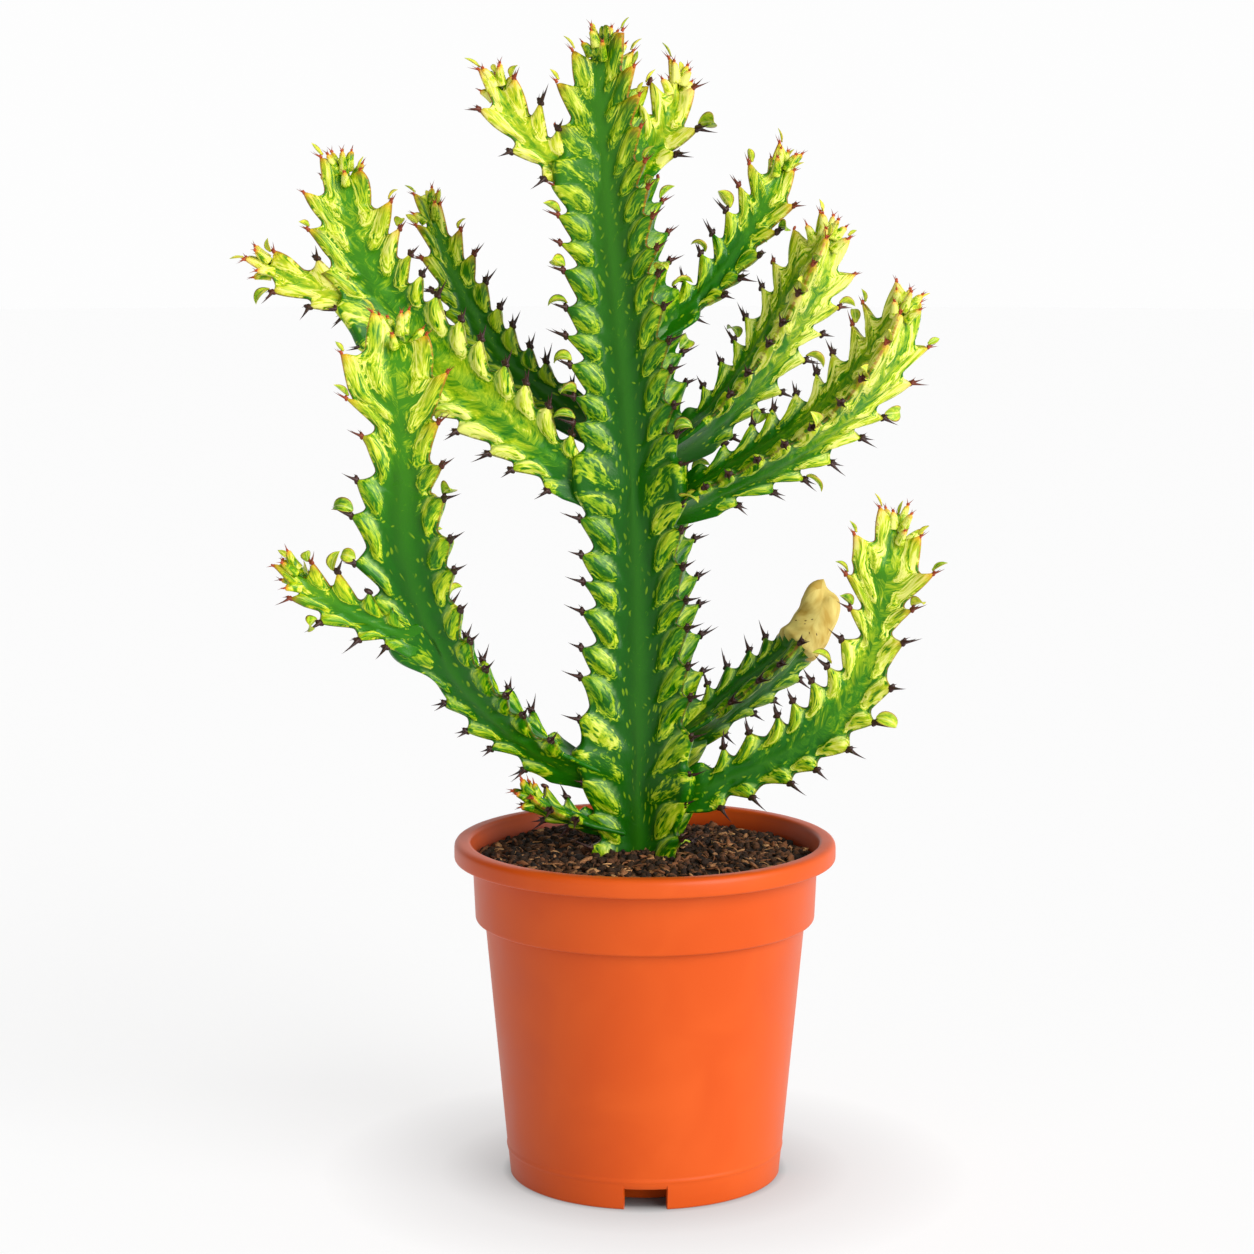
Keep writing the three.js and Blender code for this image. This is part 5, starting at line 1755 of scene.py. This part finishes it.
@dataclass
class NurseryPot:
    """The round injection-moulded pot: rolled lip, collar, ledge, tapered body, bead and notched skirt."""

    height: float = 152.0
    lip_radius: float = 85.0
    lip_drop: float = 8.5
    lip_top: float = 5.6
    collar_radius: float = 76.9
    collar_height: float = 27.0
    collar_draft: float = 1.2
    ledge_step: float = 4.2
    foot_radius: float = 60.8
    wall: float = 1.7
    floor: float = 2.0
    skirt: float = 3.3
    gutter_height: float = 10.0
    gutter_inner: float = 44.0
    gutter_draft: float = 1.5
    ridge_height: float = 13.0
    ridge_proud: float = 0.3
    notches: int = 4
    notch_width: float = 19.0
    notch_height: float = 9.4
    drain_radius: float = 4.0
    drain_ring: float = 51.0
    columns: int = 180
    sharp_from: float = 38.0  # degrees between faces from which an edge is shaded sharp

    def __post_init__(self) -> None:
        """Works out the heights that the profile shares."""
        self.lip_bottom = self.height - self.lip_drop
        self.ledge = self.lip_bottom - self.collar_height
        self.body_top = self.collar_radius - self.collar_draft - self.ledge_step
        self.gutter_top = self.gutter_height + self.floor
        self.ledge_inside = self.ledge - 2, self.ledge + 2.5  # where the wall bends out over the ledge
        self.collar_top = self.lip_bottom - 1
        self.lip_inside = self.height - 3
        self.notch_turns = [i / self.notches * math.tau - math.pi / 2 for i in range(self.notches)]

    def inner_radius(self, z: float) -> float:
        """The inside radius of the wall at a height, above the gutter.

        Args:
            z: The height in mm.

        Returns:
            The radius in mm.
        """
        pairs = [
            (self.gutter_height, self.foot_radius - self.wall + 0.6),
            (self.ledge_inside[0], self.body_top - self.wall),
            (self.ledge_inside[1], self.body_top + self.ledge_step - self.wall),
            (self.collar_top, self.collar_radius - self.wall),
            (self.lip_inside, self.collar_radius + 0.3),
        ]
        return float(curve_value(pairs, z))

    def profile(self) -> list[tuple[float, float]]:
        """The closed profile from the axis under the floor, up outside, and down inside to the axis.

        Returns:
            Its (radius, height) points in mm.
        """
        foot, top = self.foot_radius, self.height
        ridge = float(curve_value([(0, foot), (self.ledge, self.body_top)], self.ridge_height))
        corners = [
            (0, 0, 0),
            (self.gutter_inner, 0, 0.8),
            (self.gutter_inner + self.gutter_draft, self.gutter_height, 0.8),
            (foot - self.skirt - 0.2, self.gutter_height, 0.8),
            (foot - self.skirt, 0, 0.5),
            (foot, 0, 1.2),
            (ridge - 0.05, self.ridge_height - 1.4, 0.4),
            (ridge + self.ridge_proud, self.ridge_height - 0.3, 0.35),
            (ridge + self.ridge_proud, self.ridge_height + 0.3, 0.35),
            (ridge + 0.1, self.ridge_height + 1.3, 0.5),
            (self.body_top, self.ledge - 0.4, 0.8),
            (self.body_top + self.ledge_step, self.ledge, 1.3),
            (self.collar_radius, self.lip_bottom, 0.9),
            (self.lip_radius, self.lip_bottom, 1.5),
            (self.lip_radius, top, 3.0),
            (self.lip_radius - self.lip_top - 1.4, top, 2.4),
            *[
                (self.inner_radius(z), z, fillet)
                for z, fillet in (
                    (self.lip_inside, 0.8),
                    (self.collar_top, 0.8),
                    (self.ledge_inside[1], 1.0),
                    (self.ledge_inside[0], 1.0),
                    (self.gutter_top, 1.4),
                )
            ],
            (self.gutter_inner + self.gutter_draft - self.wall, self.gutter_top, 0.8),
            (self.gutter_inner - self.wall, self.floor, 0.8),
            (0, self.floor, 0),
        ]
        return filleted(corners)

    def turns(self) -> tuple[np.ndarray, np.ndarray]:
        """The columns' angles, with a pair at each notch's sides, and whether each lies in a notch.

        Returns:
            The angles in radians, and a mask of those in a notch.
        """
        half = math.asin(self.notch_width / 2 / self.foot_radius)
        sharp = 0.0006  # radians either side of a notch's edge, so that the edge is upright
        angles = list(full_turn(self.columns))
        for middle in self.notch_turns:
            for side in (-1, 1):
                angles += [middle + side * (half - sharp), middle + side * (half + sharp)]
        angles = np.unique(np.round(np.mod(angles, math.tau), 6))
        spacing = math.tau / self.notches
        off = np.abs((angles + math.pi / 2 + spacing / 2) % spacing - spacing / 2)
        return angles, off < half

    def build(self, finish: MouldedPolypropylene) -> bpy.types.Object:
        """Builds the pot as one closed piece.

        Args:
            finish: Its plastic.

        Returns:
            The pot's object.
        """
        profile = np.array(self.profile())
        angles, in_notch = self.turns()
        inner, outer = self.foot_radius - self.skirt - 1.5, self.foot_radius + 1.5
        body = profile[1:-1]
        count = len(angles)
        points = np.empty((len(body), count, 3))
        for row, (r, z) in enumerate(body):
            on_skirt = inner < r < outer and z < self.notch_height
            lifted = self.notch_height + z * 0.02 if on_skirt else z
            points[row, :, 0] = r * np.cos(angles)
            points[row, :, 1] = r * np.sin(angles)
            points[row, :, 2] = np.where(in_notch, lifted, z)
        shell = Shell()
        first = shell.add_points(points.reshape(-1, 3))
        shell.add_faces(tube_faces(first, len(body), count))
        for z, ring in ((profile[0][1], 0), (profile[-1][1], len(body) - 1)):
            pole = shell.add_points(np.array([[0.0, 0.0, z]]))
            shell.add_faces(fan_faces(first + ring * count, count, pole, onward=ring > 0))
        obj = shell.to_object("nursery_pot", [finish.build()])
        self.drill(obj)
        mesh = obj.data
        mesh.set_sharp_from_angle(angle=math.radians(self.sharp_from))
        place = np.empty(len(mesh.vertices) * 3)
        mesh.vertices.foreach_get("co", place)
        place = place.reshape(-1, 3) / MM
        radius = np.hypot(place[:, 0], place[:, 1])
        middle = np.array([self.inner_radius(z) for z in place[:, 2]]) + self.wall / 2
        inside = (radius < middle) & (place[:, 2] > self.ledge)
        # The inside of the wall darkens from under the lip downward, for soil dust and painted shade.
        stain = np.where(inside, eased(place[:, 2], self.lip_inside, self.lip_bottom - 6) * 0.95, 0.0)
        layer = mesh.attributes.new("soil_dust_and_shade", "FLOAT", "POINT")
        layer.data.foreach_set("value", stain)
        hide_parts("pot")
        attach(obj, "root")
        return obj

    def drill(self, obj: bpy.types.Object) -> None:
        """Cuts the drain holes through the gutter's floor.

        Args:
            obj: The pot's object.
        """
        cutters = Shell()
        sides, past = 32, 3.0
        for turn in self.notch_turns:
            centre = np.array([math.cos(turn), math.sin(turn)]) * self.drain_ring
            ring = centre + circle(self.drain_radius, sides)
            low = cutters.add_points(np.column_stack([ring, np.full(sides, self.gutter_height - past)]))
            high = cutters.add_points(np.column_stack([ring, np.full(sides, self.gutter_top + past)]))
            cutters.add_faces(tube_faces(low, 2, sides))
            cutters.add_faces(np.arange(low + sides, low, -1)[None] - 1)
            cutters.add_faces(np.arange(high, high + sides)[None])
        tool = cutters.to_object("drain_cutter", [])
        modifier = obj.modifiers.new("drains", "BOOLEAN")
        modifier.operation = "DIFFERENCE"
        modifier.solver = "EXACT"
        modifier.object = tool
        graph = bpy.context.evaluated_depsgraph_get()
        drilled = bpy.data.meshes.new_from_object(obj.evaluated_get(graph))
        obj.modifiers.clear()
        old = obj.data
        obj.data = drilled
        bpy.data.meshes.remove(old)
        bpy.data.objects.remove(tool)


@dataclass(frozen=True)
class Grain:
    """A kind of loose bit on the soil."""

    count: int
    size: tuple[float, float]  # mm, its least and greatest half length
    form: tuple[float, float, float]  # its proportions
    vary: tuple[float, float]  # and how much they vary
    tone: tuple[float, float]  # its least and greatest tint
    lift: float  # how far its middle lies above the surface, as a share of its size
    tilt: float = 1.0  # how much of its tilt it keeps


CRUMB = Grain(2400, (0.7, 2.4), (1.0, 1.0, 1.0), (0.55, 1.0), (0.12, 0.55), 0.28)
BARK = Grain(620, (1.8, 4.4), (1.0, 0.55, 0.22), (0.8, 1.2), (0.4, 0.95), 0.18, 0.35)


@dataclass
class PottingSoil:
    """The soil that fills the pot: a lumpy surface covered with crumbs, bark bits and fibres."""

    surface: float = 144.5
    mound: float = 2.0
    lump: float = 1.3
    clearance: float = 0.35
    rings: int = 58
    columns: int = 150
    broad: float = 19.0  # mm, size of the broad lumps
    small: float = 4.2  # mm, size of the small ones
    dip: tuple[float, float, float] = (60.0, 75.0, 1.6)  # mm, the radii between which the surface drops, and how far
    inset: float = 1.4  # mm from the surface's edge to the outermost bits
    rough: tuple[float, float] = (0.72, 1.18)  # how uneven a bit is
    fibres: int = 110
    fibre_length: tuple[float, float] = (5.0, 13.0)  # mm
    fibre_radius: tuple[float, float] = (0.18, 0.38)  # mm
    fibre_bend: float = 1.2  # radians either way, from end to end
    fibre_steps: int = 7
    fibre_sides: int = 5
    seed: int = 61

    def height(self, x: float, y: float) -> float:
        """The surface's height at a place, in mm.

        Args:
            x: Where, in mm.
            y: Where, in mm.

        Returns:
            The height in mm.
        """
        r = math.hypot(x, y)
        broad = noise.noise(Vector((x / self.broad, y / self.broad, 2.0)))
        small = noise.noise(Vector((x / self.small, y / self.small, 7.0)))
        start, end, depth = self.dip
        rise = self.mound * (1 - r / end)
        return self.surface + rise + self.lump * (1.3 * broad + 0.8 * small) - depth * float(eased(r, start, end))

    def build(self, pot: NurseryPot, finish: PottingMix) -> bpy.types.Object:
        """Builds the soil as one piece.

        Args:
            pot: The pot that it fills.
            finish: Its material.

        Returns:
            The soil's object.
        """
        draws = np.random.default_rng(self.seed)
        shell = Shell()
        tints: list[np.ndarray] = []
        self.fill(shell, pot, tints)
        edge = pot.inner_radius(self.surface) - self.clearance
        for grain in (CRUMB, BARK):
            for _ in range(grain.count):
                self.add_grain(grain, shell, draws, edge, tints)
        for _ in range(self.fibres):
            self.add_fibre(shell, draws, edge, tints)
        obj = shell.to_object("potting_soil_crumbs", [finish.build()])
        layer = obj.data.attributes.new("tint", "FLOAT", "POINT")
        layer.data.foreach_set("value", np.concatenate(tints))
        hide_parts("potting_soil")
        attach(obj, "root")
        return obj

    def fill(self, shell: Shell, pot: NurseryPot, tints: list[np.ndarray]) -> None:
        """Adds the closed body of soil, with its lumpy surface.

        Args:
            shell: Gathers the mesh.
            pot: The pot that it fills.
            tints: Gathers each point's brown.
        """
        gap = self.clearance
        step_foot = pot.gutter_inner - pot.wall - gap
        wall_heights = [pot.gutter_top + gap, *pot.ledge_inside, pot.collar_top]
        side = [(step_foot, pot.floor + gap), (step_foot + pot.gutter_draft, pot.gutter_top + gap)]
        side += [(pot.inner_radius(z) - gap, z) for z in wall_heights]
        round_axis = circle(1.0, self.columns)
        radii = [r for r, _ in side] + list(np.linspace(pot.inner_radius(self.surface) - gap, 1.5, self.rings))
        points = np.empty((len(radii), self.columns, 3))
        for row, r in enumerate(radii):
            points[row, :, :2] = r * round_axis
            if row < len(side):
                points[row, :, 2] = side[row][1]
            else:
                points[row, :, 2] = [self.height(x, y) for x, y in points[row, :, :2]]
        first = shell.add_points(points.reshape(-1, 3))
        count = self.columns
        shell.add_faces(tube_faces(first, len(radii), count))
        under = shell.add_points(np.array([[0.0, 0.0, pot.floor + gap]]))
        top = shell.add_points(np.array([[0.0, 0.0, self.height(0.0, 0.0)]]))
        shell.add_faces(fan_faces(first, count, under, onward=False))
        shell.add_faces(fan_faces(first + (len(radii) - 1) * count, count, top))
        tints.append(np.full(len(radii) * count + 2, 0.22))

    def add_grain(
        self, grain: Grain, shell: Shell, draws: np.random.Generator, edge: float, tints: list[np.ndarray]
    ) -> None:
        """Adds one loose bit that lies on the surface.

        Args:
            grain: Its kind.
            shell: Gathers the mesh.
            draws: The seeded random draws.
            edge: The surface's radius in mm.
            tints: Gathers each point's brown.
        """
        ball, faces = GRAIN_BALL
        r = (edge - self.inset) * math.sqrt(draws.uniform(0, 1))
        turn = draws.uniform(0, math.tau)
        x, y = r * math.cos(turn), r * math.sin(turn)
        size = draws.uniform(*grain.size)
        spin = unit(draws.normal(size=(3, 3)))
        spin[1] = unit(np.cross(spin[0], spin[2]))
        spin[2] = np.cross(spin[0], spin[1])
        stretch = np.array(grain.form) * draws.uniform(*grain.vary, 3)
        if grain.tilt < 1:
            spin = unit(spin * np.array([1.0, 1.0, grain.tilt]))
        rough = ball * draws.uniform(*self.rough, (len(ball), 1))
        middle = np.array([x, y, self.height(x, y) + size * grain.lift])
        first = shell.add_points(middle + (rough * stretch * size) @ spin)
        tints.append(np.full(len(ball), draws.uniform(*grain.tone)))
        for corners in faces:
            shell.add_faces(first + corners)

    def add_fibre(self, shell: Shell, draws: np.random.Generator, edge: float, tints: list[np.ndarray]) -> None:
        """Adds one thin bent fibre that lies on the surface.

        Args:
            shell: Gathers the mesh.
            draws: The seeded random draws.
            edge: The surface's radius in mm.
            tints: Gathers each point's brown.
        """
        r, turn = (edge - 8) * math.sqrt(draws.uniform(0, 1)), draws.uniform(0, math.tau)
        heading = draws.uniform(0, math.tau)
        length = draws.uniform(*self.fibre_length)
        bend = draws.uniform(-self.fibre_bend, self.fibre_bend)
        radius = draws.uniform(*self.fibre_radius)
        steps, sides = self.fibre_steps, self.fibre_sides
        spot = np.array([r * math.cos(turn), r * math.sin(turn)])
        around = circle(1.0, sides)
        rows = []
        for k in range(steps + 1):
            way = heading + bend * k / steps
            direction = np.array([math.cos(way), math.sin(way), 0.0])
            if np.hypot(*spot) > edge - 1.5:
                spot *= (edge - 1.5) / np.hypot(*spot)
            lift = 0.8 + 0.7 * math.sin(math.pi * k / steps)
            centre = np.array([spot[0], spot[1], self.height(*spot) + lift])
            flank = np.cross(direction, UP)
            thin = radius * (0.35 + 0.65 * math.sin(math.pi * (k + 0.5) / (steps + 1)))
            rows.append(centre + thin * around @ np.array([flank, UP]))
            spot = spot + direction[:2] * length / steps
        first = shell.add_points(np.concatenate(rows))
        shell.add_faces(tube_faces(first, steps + 1, sides))
        ring = np.arange(first, first + sides)[None]
        shell.add_faces(ring[:, ::-1])
        shell.add_faces(ring + steps * sides)
        tints.append(np.full(sides * (steps + 1), draws.uniform(0.5, 1.0)))


# ---- Studio ----


@dataclass
class Studio:
    """A white floor, a bright surround, soft lights and the camera."""

    camera_at: tuple[float, float, float] = (-8.0, -1400.0, 449.0)
    camera_down: float = 8.2  # degrees
    frame_pixels: int = 1254
    focal_pixels: float = 3200.0
    sensor: float = 36.0
    floor_radius: float = 9000.0
    horizon: float = 0.985  # brightness of the surround near the horizon
    zenith: float = 0.35  # and overhead
    overhead: tuple[float, float] = (0.16, 0.6)  # heights, as sines, between which it dims from one to the other
    left_side: float = 0.15  # how bright it stays high on the left, as a share
    floor_sides: int = 96
    key_from: tuple[float, float, float] = (0.67, -0.62, 0.42)
    key_strength: float = 3.6
    key_angle: float = 50.0  # degrees across, as a large soft box
    fill_from: tuple[float, float, float] = (-1000.0, -1200.0, 1150.0)
    fill_size: float = 450.0
    fill_power: float = 1.6

    def build(self) -> None:
        """Builds the floor, the surround, the lights and the camera."""
        self.lay_floor()
        self.light_surround()
        key = bpy.data.lights.new("key_soft_light", "SUN")
        key.energy = self.key_strength
        key.angle = math.radians(self.key_angle)
        self.hang(key, self.key_from, (0, 0, 0))
        fill = bpy.data.lights.new("fill_soft_box", "AREA")
        fill.shape = "SQUARE"
        fill.size = self.fill_size * MM
        fill.energy = self.fill_power
        self.hang(fill, self.fill_from, (0, 0, 300))
        self.set_camera()
        bpy.context.scene.view_settings.view_transform = "Standard"

    def lay_floor(self) -> None:
        """Lays the round table top."""
        sides = self.floor_sides
        shell = Shell()
        first = shell.add_points(np.column_stack([circle(self.floor_radius, sides), np.zeros(sides)]))
        middle = shell.add_points(np.zeros((1, 3)))
        shell.add_faces(fan_faces(first, sides, middle))
        floor = shell.to_object("acrylic_floor", [OpalAcrylic().build()])

    def light_surround(self) -> None:
        """Makes the world: white round the horizon, dimmer overhead and dimmer again high on the left."""
        world = bpy.data.worlds.new("white_studio")
        world.use_nodes = True
        bpy.context.scene.world = world
        tree = world.node_tree
        add = partial(add_node, tree)
        place = add("TexCoord")
        right, _, height = add("SeparateXYZ", {0: place.outputs["Generated"]}).outputs
        low, high = self.overhead
        levels = {"Value": height, "From Min": low, "From Max": high, "To Min": self.horizon, "To Max": self.zenith}
        strength = add("MapRange", levels, **SMOOTH)
        levels = {"Value": right, "From Min": -0.3, "From Max": -0.85, "To Max": 1.0 - self.left_side}
        side = add("MapRange", levels, **SMOOTH)
        above = add("MapRange", {"Value": height, "From Min": 0.05, "From Max": 0.2}, **SMOOTH)
        side = add("Math", {0: side, 1: above}, operation="MULTIPLY")
        side = add("Math", {0: 1.0, 1: side}, operation="SUBTRACT")
        strength = add("Math", {0: strength, 1: side}, operation="MULTIPLY")
        feed(tree.nodes["Background"], {"Color": (1.0, 1.0, 1.0, 1.0), "Strength": strength})

    def hang(
        self, light: bpy.types.Light, at: tuple[float, float, float], towards: tuple[float, float, float]
    ) -> None:
        """Hangs a light.

        Args:
            light: The light.
            at: Where it hangs, in mm. For a sun only the direction counts.
            towards: The point that it faces, in mm.
        """
        lamp = bpy.data.objects.new(light.name, light)
        lamp.location = Vector(at) * MM
        lamp.rotation_euler = (Vector(at) - Vector(towards)).to_track_quat("Z", "Y").to_euler()
        bpy.context.scene.collection.objects.link(lamp)

    def set_camera(self) -> None:
        """Sets the camera at the photograph's viewing angle."""
        data = bpy.data.cameras.new("front_camera")
        data.sensor_width = self.sensor
        data.lens = self.focal_pixels / self.frame_pixels * self.sensor
        camera = bpy.data.objects.new("front_camera", data)
        camera.location = Vector(self.camera_at) * MM
        camera.rotation_euler = (math.radians(90 - self.camera_down), 0, 0)
        bpy.context.scene.collection.objects.link(camera)
        bpy.context.scene.camera = camera


def main() -> None:
    """Builds the studio, the pot, the soil and each stem in turn."""
    logging.basicConfig(level=logging.INFO, format="%(name)s: %(message)s")
    Studio().build()
    pot = NurseryPot()
    LOG.info("pot: %d faces", len(pot.build(MouldedPolypropylene()).data.polygons))
    LOG.info("soil: %d faces", len(PottingSoil().build(pot, PottingMix()).data.polygons))
    skins = {skin: finish.build() for skin, finish in SKINS.items()}
    spine, leaf, withered = HornySpine().build(), LeafTissue().build(), WitheredTissue().build()
    for stem in PLANT:
        obj = stem.build(PLANT, [skins[stem.skin], spine, leaf, withered])
        LOG.info("%s: %d faces", obj.name, len(obj.data.polygons))


if __name__ == "__main__":
    main()
